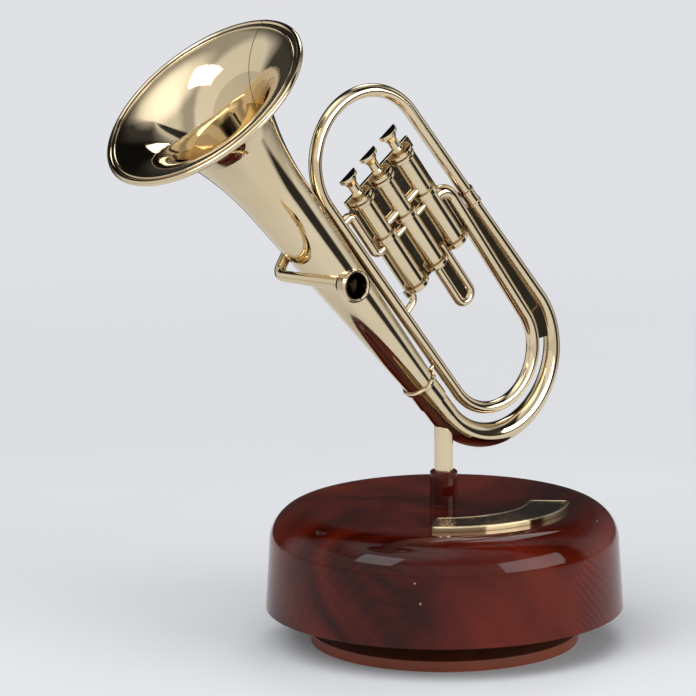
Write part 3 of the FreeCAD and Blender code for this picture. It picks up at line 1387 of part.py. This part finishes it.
def build_base():
    """The foot, the housing and the movement inside it, by node name."""
    return {
        "foot_disc": make_foot_disc(),
        "foot_pad": make_foot_pad(),
        "foot_screw": make_foot_screw(),
        "spindle": make_spindle(),
        "crown_wheel": make_crown_wheel(),
        "housing": make_housing(),
        "bottom_cover": make_bottom_cover(),
        "cover_screws": make_cover_screws(),
        "name_plate": make_name_plate(),
        "post_screw": make_post_screw(),
        "bedplate": make_bedplate(),
        "spring_barrel": make_barrel(),
        "mainspring": make_mainspring(),
        "comb": make_comb(),
        "comb_screws": make_comb_screws(),
        "drum_bracket": make_drum_bracket(),
        "governor_frame": make_governor_frame(),
        "drum": make_drum(),
        "drum_arbor": make_drum_arbor(),
        "drum_wheel": make_drum_wheel(),
        "governor_wheel": make_governor_wheel(),
        "worm": make_worm(),
        "fan": make_fan(),
    }


def main():
    os.makedirs("parts", exist_ok=True)
    nodes = build_base()
    nodes.update(build_horn())
    for name, shape in nodes.items():
        solids = shape.Solids
        if not solids or not all(solid.isValid() and solid.Volume > 0 for solid in solids):
            raise ValueError(f"{name} is not a valid solid")
        whole = solids[0] if len(solids) == 1 else Part.makeCompound(solids)
        whole.exportStep(f"parts/{name}.step")
    print(len(nodes), "nodes")


main()
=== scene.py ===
"""A clockwork music box: a gold-plated model horn on a post over a glossy red-brown housing.

Everything is in metres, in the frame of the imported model.
"""
import bmesh
import bpy
import math
from mathutils import Matrix, Vector


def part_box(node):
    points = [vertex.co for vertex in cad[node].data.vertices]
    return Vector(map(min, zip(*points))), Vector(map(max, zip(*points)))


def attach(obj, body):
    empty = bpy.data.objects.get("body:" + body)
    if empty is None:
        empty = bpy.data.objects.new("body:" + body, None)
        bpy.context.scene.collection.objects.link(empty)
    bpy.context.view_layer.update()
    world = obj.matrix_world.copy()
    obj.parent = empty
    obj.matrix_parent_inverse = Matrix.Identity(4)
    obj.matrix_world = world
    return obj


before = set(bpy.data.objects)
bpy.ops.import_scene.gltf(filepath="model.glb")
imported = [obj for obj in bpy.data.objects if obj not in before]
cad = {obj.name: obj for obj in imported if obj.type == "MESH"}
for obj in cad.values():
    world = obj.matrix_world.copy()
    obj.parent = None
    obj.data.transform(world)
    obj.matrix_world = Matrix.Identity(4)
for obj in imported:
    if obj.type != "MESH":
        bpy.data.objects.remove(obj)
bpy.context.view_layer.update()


# Camera: the photograph's viewpoint, worked out from the ellipses of foot, housing and bell
IMAGE_SIZE = 696
FOCAL_PIXELS = 3500.0
CAMERA_DISTANCE = 1.0309
CAMERA_PITCH = math.radians(10.098)
CAMERA_ROLL = math.radians(-0.541)
OBJECT_TURN = math.radians(38.58)
ORIGIN_PIXEL = (444.50, 636.59)
SENSOR_WIDTH = 36.0
NEAREST_SEEN = 0.01
FARTHEST_SEEN = 50.0

# Floor: its half side, and the two distances between which it gives way to a plain glow, which is
# one colour for the camera and the screens' levels for the plating
FLOOR_REACH = 6.0
SEEN_FADE = (0.22, 0.75)
SEEN_COLOUR = (0.74, 0.75, 0.78)
MIRRORED_FADE = (0.28, 0.42)
MIRRORED_STRENGTH = 0.75

# Studio: the screens' grey levels by heading, in degrees to the right of the camera's side
SCREENS = [
    (-180, 0.05), (-134, 0.06), (-120, 0.80), (-30, 0.96), (66, 0.98), (72, 0.04), (98, 0.04),
    (105, 0.85), (118, 0.75), (140, 0.25), (165, 0.06), (180, 0.05),
]

# The ceiling's levels by height, behind the object and before it, and where the two meet, as a
# direction's part towards the camera
CEILING_BEHIND = [(0.0, 1.0), (0.40, 1.0), (0.60, 0.12), (1.0, 0.08)]
CEILING_BEFORE = [(0.0, 1.0), (0.46, 1.0), (0.56, 0.50), (0.74, 0.50), (0.86, 0.90), (1.0, 0.90)]
BEHIND_TO_BEFORE = (-0.52, -0.38)

# The glow above: azimuth and elevation, where it ends and where it is full, in degrees, and its level
GLOW_PLACE = (-50, 64)
GLOW_OUTER = 36.0
GLOW_INNER = 10.0
GLOW_LEVEL = 0.9

STUDIO_TINT = (0.97, 0.985, 1.0)

# All lamps face the middle of the horn
LAMP_TARGET = Vector((-0.02, 0, 0.09))

# Plating: its two tones, its roughness where it is clear and where it is hazy, and the brown shade
# painted into its crevices with how far it reaches
GOLD_PALE = (0.785, 0.655, 0.445)
GOLD_DEEP = (0.715, 0.575, 0.370)
GOLD_POLISH = (0.035, 0.10)
CREVICE_SHADE_BROWN = (0.22, 0.11, 0.038)
CREVICE_SHADE_REACH = 0.0026

# The faint waves in a glossy skin, and the radius of a softened fine edge
WAVE_HEIGHT = 0.00004
FINE_EDGE = 0.0002

# Movement: its steel and brass pieces
BRASS_NODES = ["crown_wheel", "drum", "drum_wheel", "governor_wheel"]
STEEL_NODES = [
    "foot_screw", "spindle", "cover_screws", "post_screw", "spring_barrel", "mainspring",
    "comb", "comb_screws", "drum_bracket", "governor_frame", "drum_arbor", "worm",
]

# Name plate: its outline as in the CAD
PLATE_INNER = 0.0245
PLATE_OUTER = 0.0368
PLATE_HALF_ANGLE = math.radians(46.0)
PLATE_CORNER = 0.0016
PLATE_STEPS = 60
CORNER_STEPS = 8

# Its stippled ground: the border left plain, and how softly it ends at the sides and at the ends
PLATE_BORDER = 0.0009
SIDE_FADE = 0.00015
END_FADE = 0.005
STIPPLE_HEIGHT = 0.00008

# Its raised border's cross-section: inset from the outline, and height over the top
BORDER_PROFILE = [
    (0.00016, -0.00010), (0.00018, 0.00004), (0.00028, 0.00009),
    (0.00064, 0.00009), (0.00076, 0.00004), (0.00079, -0.00010),
]

# Bell: the middle of its mouth, its facing, and how far out the rays start that find its surface
BELL_MOUTH = Vector((-0.085138, 0.0, 0.164498))
BELL_FACING = Vector((-0.65448, 0.0, 0.75608))
CLEAR_OF_MOUTH = 0.01
CLEAR_OF_RIM = 0.05

# The thin roll inside the bell's rim
ROLL_PLACE = 0.0288
ROLL_RADIUS = 0.00036
ROLL_STEPS = 180
ROLL_SIDES = 12

# The mould seam inside the bell: its turn from the horn's plane, the radii that it runs between,
# and its cross-section in shares of its half width and height
SEAM_TURN = math.radians(5.3)
SEAM_START = 0.0313
SEAM_END = 0.0112
SEAM_STEPS = 60
SEAM_HALF_WIDTH = 0.00020
SEAM_HEIGHT = 0.00007
SEAM_TAPER = 0.5
SEAM_PROFILE = [(-1.0, -0.4), (-0.6, 0.7), (0.0, 1.0), (0.6, 0.7), (1.0, -0.4)]

# The trimmed nub on the rim: its depth behind the mouth, its stretch along and across the rim, and
# the radius and height of its steps
NUB_DEPTH = 0.0009
NUB_SIDES = 16
NUB_ALONG = 1.25
NUB_ACROSS = 0.8
NUB_PROFILE = [(0.00062, -0.0003), (0.00064, 0.00012), (0.00048, 0.00040), (0.00022, 0.00050)]


# Directions
def photo_to_part(vector):
    """A direction or point from the camera's own upright frame into the part's frame."""
    c = math.cos(OBJECT_TURN)
    s = math.sin(OBJECT_TURN)
    return Vector((c * vector.x + s * vector.y, -s * vector.x + c * vector.y, vector.z))


def direction(azimuth, elevation):
    """A direction by degrees to the right of the camera's side, and degrees above the floor."""
    turn = math.radians(azimuth)
    lift = math.radians(elevation)
    level = math.cos(lift)
    return photo_to_part(Vector((math.sin(turn) * level, -math.cos(turn) * level, math.sin(lift))))


def full_turn(steps):
    """Evenly spaced angles round a full turn."""
    return [2 * math.pi * step / steps for step in range(steps)]


# Camera
def make_camera():
    """The photograph's camera, placed by where the object's origin lies in its frame."""
    ahead = Vector((0, math.cos(CAMERA_PITCH), -math.sin(CAMERA_PITCH)))
    upward = Vector((0, math.sin(CAMERA_PITCH), math.cos(CAMERA_PITCH)))
    level = Vector((1, 0, 0))
    right = level * math.cos(CAMERA_ROLL) + upward * math.sin(CAMERA_ROLL)
    top = upward * math.cos(CAMERA_ROLL) - level * math.sin(CAMERA_ROLL)
    middle = IMAGE_SIZE / 2
    across = (ORIGIN_PIXEL[0] - middle) / FOCAL_PIXELS * CAMERA_DISTANCE
    rise = -(ORIGIN_PIXEL[1] - middle) / FOCAL_PIXELS * CAMERA_DISTANCE
    place = photo_to_part(-right * across - top * rise - ahead * CAMERA_DISTANCE)
    columns = [photo_to_part(right), photo_to_part(top), photo_to_part(-ahead)]
    turn = Matrix([[column[row] for column in columns] for row in range(3)])
    data = bpy.data.cameras.new("camera")
    data.sensor_width = SENSOR_WIDTH
    data.lens = FOCAL_PIXELS / IMAGE_SIZE * SENSOR_WIDTH
    data.clip_start = NEAREST_SEEN
    data.clip_end = FARTHEST_SEEN
    camera = bpy.data.objects.new("camera", data)
    camera.matrix_world = Matrix.Translation(place) @ turn.to_4x4()
    bpy.context.scene.collection.objects.link(camera)
    bpy.context.scene.camera = camera


# Node helpers
class Tree:
    """A node tree, with short calls for the nodes that are used often.

    An input is given a plain value or a source. A source is a node, which stands for the first of
    its outputs that is in use, or a node together with an output's name.
    """

    # Among a mix node's inputs, the factor and the two colours
    MIX_INPUTS = (0, 6, 7)

    def __init__(self, owner, coordinates):
        owner.use_nodes = True
        self.nodes = owner.node_tree.nodes
        self.links = owner.node_tree.links
        self.nodes.clear()
        self.place = (self.add("ShaderNodeTexCoord"), coordinates)

    def add(self, kind, inputs=None, **settings):
        """A new node with its settings and inputs."""
        node = self.nodes.new(kind)
        for key, value in settings.items():
            setattr(node, key, value)
        for entry, value in (inputs or {}).items():
            self.give(node, entry, value)
        return node

    def give(self, node, entry, value):
        """Give one input of a node a value or a source. A colour is three numbers."""
        target = node.inputs[entry]
        if isinstance(value, bpy.types.Node):
            self.links.new(next(output for output in value.outputs if output.enabled), target)
        elif isinstance(value, tuple) and isinstance(value[0], bpy.types.Node):
            self.links.new(value[0].outputs[value[1]], target)
        elif target.type == "RGBA":
            target.default_value = (*value, 1.0)
        else:
            target.default_value = value

    def noise(self, scale, detail=2.0, roughness=0.5, distortion=0.0, source=None):
        return self.add("ShaderNodeTexNoise", {
            "Vector": self.place if source is None else source,
            "Scale": scale,
            "Detail": detail,
            "Roughness": roughness,
            "Distortion": distortion,
        })

    def cells(self, scale):
        return self.add("ShaderNodeTexVoronoi", {"Vector": self.place, "Scale": scale})

    def ramp(self, source, stops):
        """A colour by a value. Each stop is a position and a colour, or a position and a grey level."""
        node = self.add("ShaderNodeValToRGB", {"Fac": source})
        elements = node.color_ramp.elements
        while len(elements) < len(stops):
            elements.new(0.5)
        for element, (position, shade) in zip(elements, stops):
            colour = shade if isinstance(shade, tuple) else (shade, shade, shade)
            element.position = position
            element.color = (*colour, 1.0)
        return node

    def spread(self, source, low, high, start=0.0, end=1.0, **settings):
        """A value mapped from start..end to low..high."""
        inputs = {"Value": source, "From Min": start, "From Max": end, "To Min": low, "To Max": high}
        return self.add("ShaderNodeMapRange", inputs, **settings)

    def mix(self, factor, first, second, mode="MIX"):
        inputs = dict(zip(self.MIX_INPUTS, (factor, first, second)))
        return self.add("ShaderNodeMix", inputs, data_type="RGBA", blend_type=mode)

    def math(self, operation, *values):
        return self.add("ShaderNodeMath", dict(enumerate(values)), operation=operation)

    def vector_math(self, operation, *values):
        return self.add("ShaderNodeVectorMath", dict(enumerate(values)), operation=operation)

    def parts(self, source):
        return self.add("ShaderNodeSeparateXYZ", {"Vector": source})

    def bump(self, source, height, under=None):
        """A normal from a relief, laid over another normal where one is given."""
        inputs = {"Height": source, "Distance": height}
        if under is not None:
            inputs["Normal"] = under
        return self.add("ShaderNodeBump", inputs)

    def bevel(self, radius):
        return self.add("ShaderNodeBevel", {"Radius": radius}, samples=4)

    def openness(self, reach, samples):
        """How open a place is: low in corners and cups."""
        node = self.add("ShaderNodeAmbientOcclusion", {"Distance": reach}, samples=samples)
        return (node, "AO")


class Surface(Tree):
    """A material's node tree, with one shader that takes its colour, gloss and relief."""

    def __init__(self, name):
        self.material = bpy.data.materials.new(name)
        super().__init__(self.material, "Object")
        self.shader = self.add("ShaderNodeBsdfPrincipled")
        self.output = self.add("ShaderNodeOutputMaterial", {"Surface": self.shader})

    def set(self, **values):
        for key, value in values.items():
            self.give(self.shader, key.replace("_", " "), value)


# Materials
def dress(names, material):
    """Give CAD nodes one material."""
    for name in names:
        slots = cad[name].data.materials
        slots.clear()
        slots.append(material)


class Plating(Surface):
    """Mirror plating with painted brown shade in its crevices, with faint haze and rub marks."""

    def __init__(self, name, pale=GOLD_PALE, deep=GOLD_DEEP, polish=GOLD_POLISH, edge=0.0):
        super().__init__(name)
        tone = self.ramp(self.noise(38.0, detail=3.0), [(0.30, deep), (0.70, pale)])
        # Painted shade: the gilt turns brown in corners, recesses and gaps between parts, by how open
        # each place is
        crevice_shade = self.spread(self.openness(CREVICE_SHADE_REACH, samples=6), 0.0, 1.0, start=0.25, end=0.80)
        haze = self.noise(160.0, detail=4.0, roughness=0.6)
        soft = self.bevel(edge) if edge else None
        self.shaded_gilt = self.mix(crevice_shade, CREVICE_SHADE_BROWN, tone)
        self.skin = self.bump(self.noise(60.0, detail=1.0), WAVE_HEIGHT, under=soft)
        self.set(Base_Color=self.shaded_gilt, Normal=self.skin, Metallic=1.0)
        self.set(Roughness=self.spread(haze, *polish, start=0.35, end=0.75))


def plate_gold():
    """The name plate: the same plating over a finely stippled ground."""
    tree = Plating("plate_gold", (0.80, 0.66, 0.42), (0.72, 0.56, 0.32), (0.05, 0.14), FINE_EDGE)

    # The ground lies between two radii, short of the plate's two ends, and on its top
    middle = (PLATE_INNER + PLATE_OUTER) / 2
    half = (PLATE_OUTER - PLATE_INNER) / 2 - PLATE_BORDER
    end = PLATE_HALF_ANGLE - PLATE_BORDER / middle
    radius = tree.vector_math("LENGTH", tree.vector_math("MULTIPLY", tree.place, (1.0, 1.0, 0.0)))
    off_middle = tree.math("ABSOLUTE", tree.math("SUBTRACT", radius, middle))
    place = tree.parts(tree.place)
    forward = tree.math("MULTIPLY", (place, "Y"), -1.0)
    heading = tree.math("ARCTAN2", tree.math("ABSOLUTE", (place, "X")), forward)
    normal = tree.parts((tree.add("ShaderNodeNewGeometry"), "Normal"))
    between = tree.spread(off_middle, 1.0, 0.0, start=half - SIDE_FADE, end=half)
    short_of_ends = tree.spread(heading, 1.0, 0.0, start=end - END_FADE, end=end)
    on_top = tree.spread((normal, "Z"), 0.0, 1.0, start=0.7, end=0.9)
    ground = tree.math("MULTIPLY", tree.math("MULTIPLY", between, short_of_ends), on_top)

    stipple = tree.cells(1300.0)
    relief = tree.math("MULTIPLY", stipple, ground)
    # The stippled ground is coloured dark brown, with paler specks at the middles of the stipples
    stipple_tone = tree.ramp(stipple, [(0.0, (0.50, 0.36, 0.16)), (0.5, (0.16, 0.10, 0.045))])
    raised = tree.bump(relief, STIPPLE_HEIGHT, under=tree.skin)
    # Outside the stippled ground the plating keeps its painted crevice shade
    tree.set(Base_Color=tree.mix(ground, tree.shaded_gilt, stipple_tone), Normal=raised)
    return tree.material


def cup_gold():
    """The mouthpiece: plating that runs into deep shadow inside the cup."""
    tree = Plating("cup_gold", edge=FINE_EDGE)
    # Painted shade: the plating darkens to near black where the cup closes round, by how open each place
    # is
    open_share = tree.spread(tree.openness(reach=0.012, samples=8), 0.0, 1.0, start=0.45, end=0.72)
    tree.set(Base_Color=tree.mix(open_share, (0.030, 0.018, 0.008), tree.shaded_gilt))
    return tree.material


def plain_material(name, colour, roughness, metallic=0.0):
    """One colour with slight clouds and a fine grain."""
    tree = Surface(name)
    cloud = tree.noise(60.0, detail=3.0)
    darker = tuple(0.75 * value for value in colour)
    rough = tree.spread(cloud, 0.85 * roughness, min(1.0, 1.15 * roughness), start=0.3, end=0.7)
    grain = tree.bump(tree.noise(900.0), 0.00002, under=tree.bevel(FINE_EDGE))
    tree.set(Base_Color=tree.ramp(cloud, [(0.3, darker), (0.7, colour)]), Roughness=rough)
    tree.set(Normal=grain, Metallic=metallic)
    return tree.material


def housing_plastic():
    """Mirror-gloss red-brown plastic with the look of burr mahogany."""
    tree = Surface("housing_plastic")
    warp = tree.noise(12.0)
    moved = tree.vector_math("MULTIPLY_ADD", (warp, "Color"), (0.060, 0.060, 0.060), tree.place)

    # Fine dark lines, in patches
    lines = tree.add("ShaderNodeTexWave", {
        "Vector": moved,
        "Scale": 170.0,
        "Distortion": 2.5,
        "Detail": 3.0,
        "Detail Scale": 0.7,
    }, wave_type="BANDS", bands_direction="DIAGONAL")
    grain = tree.ramp((lines, "Fac"), [
        (0.0, (0.058, 0.0052, 0.0022)),
        (0.35, (0.088, 0.0088, 0.0032)),
        (1.0, (0.100, 0.0105, 0.0038)),
    ])
    patches = tree.ramp(tree.noise(34.0, detail=1.0, source=moved), [(0.42, 0.0), (0.62, 1.0)])
    streaked = tree.mix(patches, (0.092, 0.0093, 0.0034), grain)

    # Broad bands from nearly black to red-brown
    zones = tree.noise(15.0, detail=3.0, roughness=0.55, distortion=1.2, source=moved)
    shade = tree.ramp(zones, [
        (0.36, (0.24, 0.18, 0.18)),
        (0.47, (0.55, 0.46, 0.44)),
        (0.55, (0.88, 0.82, 0.74)),
        (0.70, (1.45, 1.60, 1.40)),
    ])
    figured = tree.mix(1.0, streaked, shade, "MULTIPLY")

    # A few specks of dust
    dust = tree.ramp(tree.cells(170.0), [(0.0, 1.0), (0.045, 1.0), (0.07, 0.0)])
    where = tree.ramp(tree.noise(55.0, detail=1.0), [(0.60, 0.0), (0.66, 0.5)])
    dusty = tree.mix(tree.mix(1.0, dust, where, "MULTIPLY"), figured, (0.45, 0.36, 0.32))

    ripple = tree.bump(tree.noise(30.0, detail=1.0), WAVE_HEIGHT, under=tree.bevel(radius=0.0004))
    rubbed = tree.spread(tree.noise(450.0, detail=3.0), 0.035, 0.10, start=0.4, end=0.8)
    tree.set(Base_Color=dusty, Roughness=rubbed, Normal=ripple, IOR=1.31)
    return tree.material


# Pieces
def sweep(name, rows, material, closed=False):
    """A piece with a skin over rows of points, each the outline of one cross-section.

    It moves with the housing. Its last row joins the first if it is closed, or else both have ends.
    """
    mesh = bmesh.new()
    made = [[mesh.verts.new(point) for point in row] for row in rows]
    following = made[1:]
    if closed:
        following = following + made[:1]
    else:
        mesh.faces.new(made[0])
        mesh.faces.new(made[-1])
    for first, second in zip(made, following):
        for step in range(len(first)):
            after = (step + 1) % len(first)
            mesh.faces.new((first[step], first[after], second[after], second[step]))
    bmesh.ops.recalc_face_normals(mesh, faces=mesh.faces)
    for face in mesh.faces:
        face.smooth = True
    data = bpy.data.meshes.new(name)
    mesh.to_mesh(data)
    mesh.free()
    data.materials.append(material)
    piece = bpy.data.objects.new(name, data)
    bpy.context.scene.collection.objects.link(piece)
    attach(piece, "housing")


def from_axis(turn):
    """The direction from the bell's axis at a turn from the horn's plane, square to the axis."""
    level = BELL_FACING.cross(Vector((0, -1, 0)))
    return level * math.cos(turn) + Vector((0, 1, 0)) * math.sin(turn)


def on_flare(radius, away):
    """The bell's front surface at a radius: place and normal."""
    above = BELL_MOUTH + BELL_FACING * CLEAR_OF_MOUTH + away * radius
    _, place, normal, _ = cad["bell"].ray_cast(above, -BELL_FACING)
    return place, normal


def make_bell_seam(material):
    """A fine raised line down the bell's inside, on the surface itself."""
    away = from_axis(SEAM_TURN)
    side = BELL_FACING.cross(away).normalized()
    rows = []
    for step in range(SEAM_STEPS + 1):
        place, normal = on_flare(SEAM_START + (SEAM_END - SEAM_START) * step / SEAM_STEPS, away)
        half = SEAM_HALF_WIDTH * (1.0 - SEAM_TAPER * step / SEAM_STEPS)
        rows.append([
            place + side * across * half + normal * lift * SEAM_HEIGHT
            for across, lift in SEAM_PROFILE
        ])
    sweep("bell_seam", rows, material)


def make_rim_nub(material):
    """The trimmed gate mark on the bell's rolled rim."""
    away = from_axis(SEAM_TURN)
    side = BELL_FACING.cross(away).normalized()
    start = BELL_MOUTH - BELL_FACING * NUB_DEPTH + away * CLEAR_OF_RIM
    _, place, _, _ = cad["bell"].ray_cast(start, -away)
    rows = []
    for reach, height in NUB_PROFILE:
        row = []
        for turn in full_turn(NUB_SIDES):
            outward = side * math.cos(turn) * NUB_ALONG + BELL_FACING * math.sin(turn) * NUB_ACROSS
            row.append(place + outward * reach + away * height)
        rows.append(row)
    sweep("rim_nub", rows, material)


def make_inner_roll(material):
    """The second, thinner roll just inside the bell's rim."""
    rows = []
    for heading in full_turn(ROLL_STEPS):
        away = from_axis(heading)
        place, _ = on_flare(ROLL_PLACE, away)
        rows.append([
            place + (away * math.cos(turn) + BELL_FACING * math.sin(turn)) * ROLL_RADIUS
            for turn in full_turn(ROLL_SIDES)
        ])
    sweep("inner_roll", rows, material, closed=True)


def plate_outline(inset):
    """The name plate's outline in plan, moved inwards by an inset, as x and y."""
    quarter = math.pi / 2
    outer = PLATE_OUTER - PLATE_CORNER
    inner = PLATE_INNER + PLATE_CORNER
    outer_end = PLATE_HALF_ANGLE - math.asin(PLATE_CORNER / outer)
    inner_end = PLATE_HALF_ANGLE - math.asin(PLATE_CORNER / inner)
    outer_turn = PLATE_HALF_ANGLE + quarter
    inner_turn = 3 * quarter - PLATE_HALF_ANGLE
    corner = PLATE_CORNER - inset

    # Each arc: its centre's distance and heading, its radius, its first and last turn, and its steps
    arcs = [
        (0.0, 0.0, PLATE_OUTER - inset, -outer_end, outer_end, PLATE_STEPS),
        (outer, outer_end, corner, outer_end, outer_turn, CORNER_STEPS),
        (inner, inner_end, corner, outer_turn, inner_end + 2 * quarter, CORNER_STEPS),
        (0.0, 0.0, PLATE_INNER + inset, inner_end, -inner_end, PLATE_STEPS),
        (inner, -inner_end, corner, 2 * quarter - inner_end, inner_turn, CORNER_STEPS),
        (outer, -outer_end, corner, inner_turn, 4 * quarter - outer_end, CORNER_STEPS),
    ]
    points = []
    for distance, heading, radius, start, end, steps in arcs:
        for step in range(steps):
            turn = start + (end - start) * step / steps
            points.append((
                distance * math.sin(heading) + radius * math.sin(turn),
                -distance * math.cos(heading) - radius * math.cos(turn),
            ))
    return points


def make_plate_border(material):
    """The raised border round the name plate's top."""
    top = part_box("name_plate")[1].z
    outlines = []
    for inset, lift in BORDER_PROFILE:
        outlines.append([Vector((x, y, top + lift)) for x, y in plate_outline(inset)])
    sweep("plate_border", list(zip(*outlines)), material, closed=True)


# Stage, world and lamps
def camera_side(tree):
    """The tree's place by parts: to the camera's right, towards the camera, and up."""
    inputs = {"Vector": tree.place, "Angle": OBJECT_TURN}
    turned = tree.add("ShaderNodeVectorRotate", inputs, rotation_type="Z_AXIS")
    parts = tree.parts(turned)
    return (parts, "X"), tree.math("MULTIPLY", (parts, "Y"), -1.0), (parts, "Z")


def screens(tree, rightward, nearer):
    """The screens' level in a direction."""
    heading = tree.math("ARCTAN2", rightward, nearer)
    share = tree.spread(heading, 0.0, 1.0, -math.pi, math.pi)
    return tree.ramp(share, [((degrees + 180) / 360, level) for degrees, level in SCREENS])


def far_glow(tree, beneath, ray, fade, inputs):
    """A shader that gives way to a plain glow farther out, for one kind of ray."""
    reach = tree.vector_math("LENGTH", tree.place)
    share = tree.spread(reach, 0.0, 1.0, *fade)
    factor = tree.math("MULTIPLY", share, (tree.add("ShaderNodeLightPath"), ray))
    glow = tree.add("ShaderNodeEmission", inputs)
    return tree.add("ShaderNodeMixShader", {0: factor, 1: beneath, 2: glow})


def make_stage():
    """A pale floor that runs far past the object, with the screens' levels mirrored farther out."""
    low = -FLOOR_REACH
    high = FLOOR_REACH
    mesh = bpy.data.meshes.new("floor")
    mesh.from_pydata([(low, low, 0), (high, low, 0), (high, high, 0), (low, high, 0)], [], [(0, 1, 2, 3)])
    floor = bpy.data.objects.new("floor", mesh)
    bpy.context.scene.collection.objects.link(floor)
    tree = Surface("floor")
    cloud = tree.noise(6.0, detail=3.0)
    tree.set(Base_Color=tree.ramp(cloud, [(0.3, (0.70, 0.71, 0.73)), (0.7, (0.73, 0.74, 0.76))]))
    tree.set(Roughness=0.9, Specular_IOR_Level=0.1)
    rightward, nearer, _ = camera_side(tree)
    dark_room = {"Color": screens(tree, rightward, nearer), "Strength": MIRRORED_STRENGTH}
    seen = far_glow(tree, tree.shader, "Is Camera Ray", SEEN_FADE, {"Color": SEEN_COLOUR})
    tree.give(tree.output, "Surface", far_glow(tree, seen, "Is Glossy Ray", MIRRORED_FADE, dark_room))
    mesh.materials.append(tree.material)


def make_world():
    """A pale studio with dark screens beside and behind it, a darker ceiling and one soft glow above."""
    world = bpy.data.worlds.new("studio")
    bpy.context.scene.world = world
    tree = Tree(world, "Generated")
    rightward, nearer, upward = camera_side(tree)
    behind = tree.ramp(upward, CEILING_BEHIND)
    before = tree.ramp(upward, CEILING_BEFORE)
    ceiling = tree.mix(tree.spread(nearer, 0.0, 1.0, *BEHIND_TO_BEFORE), behind, before)
    level = tree.mix(1.0, screens(tree, rightward, nearer), ceiling, "MULTIPLY")
    toward = tree.vector_math("DOT_PRODUCT", tree.place, direction(*GLOW_PLACE))
    rim = math.cos(math.radians(GLOW_OUTER))
    core = math.cos(math.radians(GLOW_INNER))
    glow = tree.spread(toward, 0.0, GLOW_LEVEL, rim, core, interpolation_type="SMOOTHSTEP")
    lit = tree.mix(1.0, level, glow, "ADD")
    light = tree.add("ShaderNodeBackground", {"Color": tree.mix(1.0, lit, STUDIO_TINT, "MULTIPLY")})
    tree.add("ShaderNodeOutputWorld", {"Surface": light})


def make_lamp(name, way, distance, width, height, power, mirrored=True):
    """A soft box in a direction from the horn, which the plating mirrors or not."""
    data = bpy.data.lights.new(name, "AREA")
    data.shape = "RECTANGLE"
    data.size = width
    data.size_y = height
    data.energy = power
    lamp = bpy.data.objects.new(name, data)
    lamp.location = LAMP_TARGET + way * distance
    lamp.rotation_mode = "QUATERNION"
    lamp.rotation_quaternion = (-way).to_track_quat("-Z", "Y")
    lamp.visible_glossy = mirrored
    bpy.context.scene.collection.objects.link(lamp)


make_camera()
make_stage()
make_world()
make_lamp("key", direction(60, 13), 1.1, width=0.9, height=0.6, power=6.5)
make_lamp("fill", direction(-50, 34), 1.1, width=0.5, height=0.5, power=3.0)
make_lamp("over", direction(-12, 62), 1.1, width=1.1, height=1.1, power=3.2, mirrored=False)
make_lamp("back", direction(165, 50), 1.2, width=0.5, height=0.5, power=2.0)

dress(cad, Plating("gold_plating").material)
edged = [name for name in cad if name.startswith("valve_") and name != "valve_inlet"]
edged += ["outer_ferrule", "branch_ring", "post"]
dress(edged, Plating("gold_plating_edged", edge=0.00018).material)
dress(["housing"], housing_plastic())
dress(["name_plate"], plate_gold())
dress(["mouthpiece"], cup_gold())
dress(["foot_disc"], plain_material("foot_plastic", (0.20, 0.038, 0.011), 0.36))
dress(["bottom_cover", "fan"], plain_material("black_plastic", (0.02, 0.02, 0.021), 0.6))
dress(STEEL_NODES, plain_material("steel", (0.56, 0.57, 0.58), 0.28, metallic=1.0))
dress(["bedplate"], plain_material("cast_alloy", (0.44, 0.44, 0.45), 0.5, metallic=1.0))
dress(BRASS_NODES, plain_material("movement_brass", (0.70, 0.52, 0.24), 0.24, metallic=1.0))
dress(["foot_pad"], plain_material("felt", (0.03, 0.03, 0.03), 0.95))
# Painted shade: the seam's plating is coloured near-black brown so that the raised line reads dark
make_bell_seam(Plating("seam_shade_gold", (0.11, 0.055, 0.020), (0.07, 0.035, 0.012), (0.3, 0.5)).material)
trim_gold = Plating("trim_gold").material
make_rim_nub(trim_gold)
make_inner_roll(trim_gold)
make_plate_border(trim_gold)

bpy.context.scene.view_settings.view_transform = "Standard"
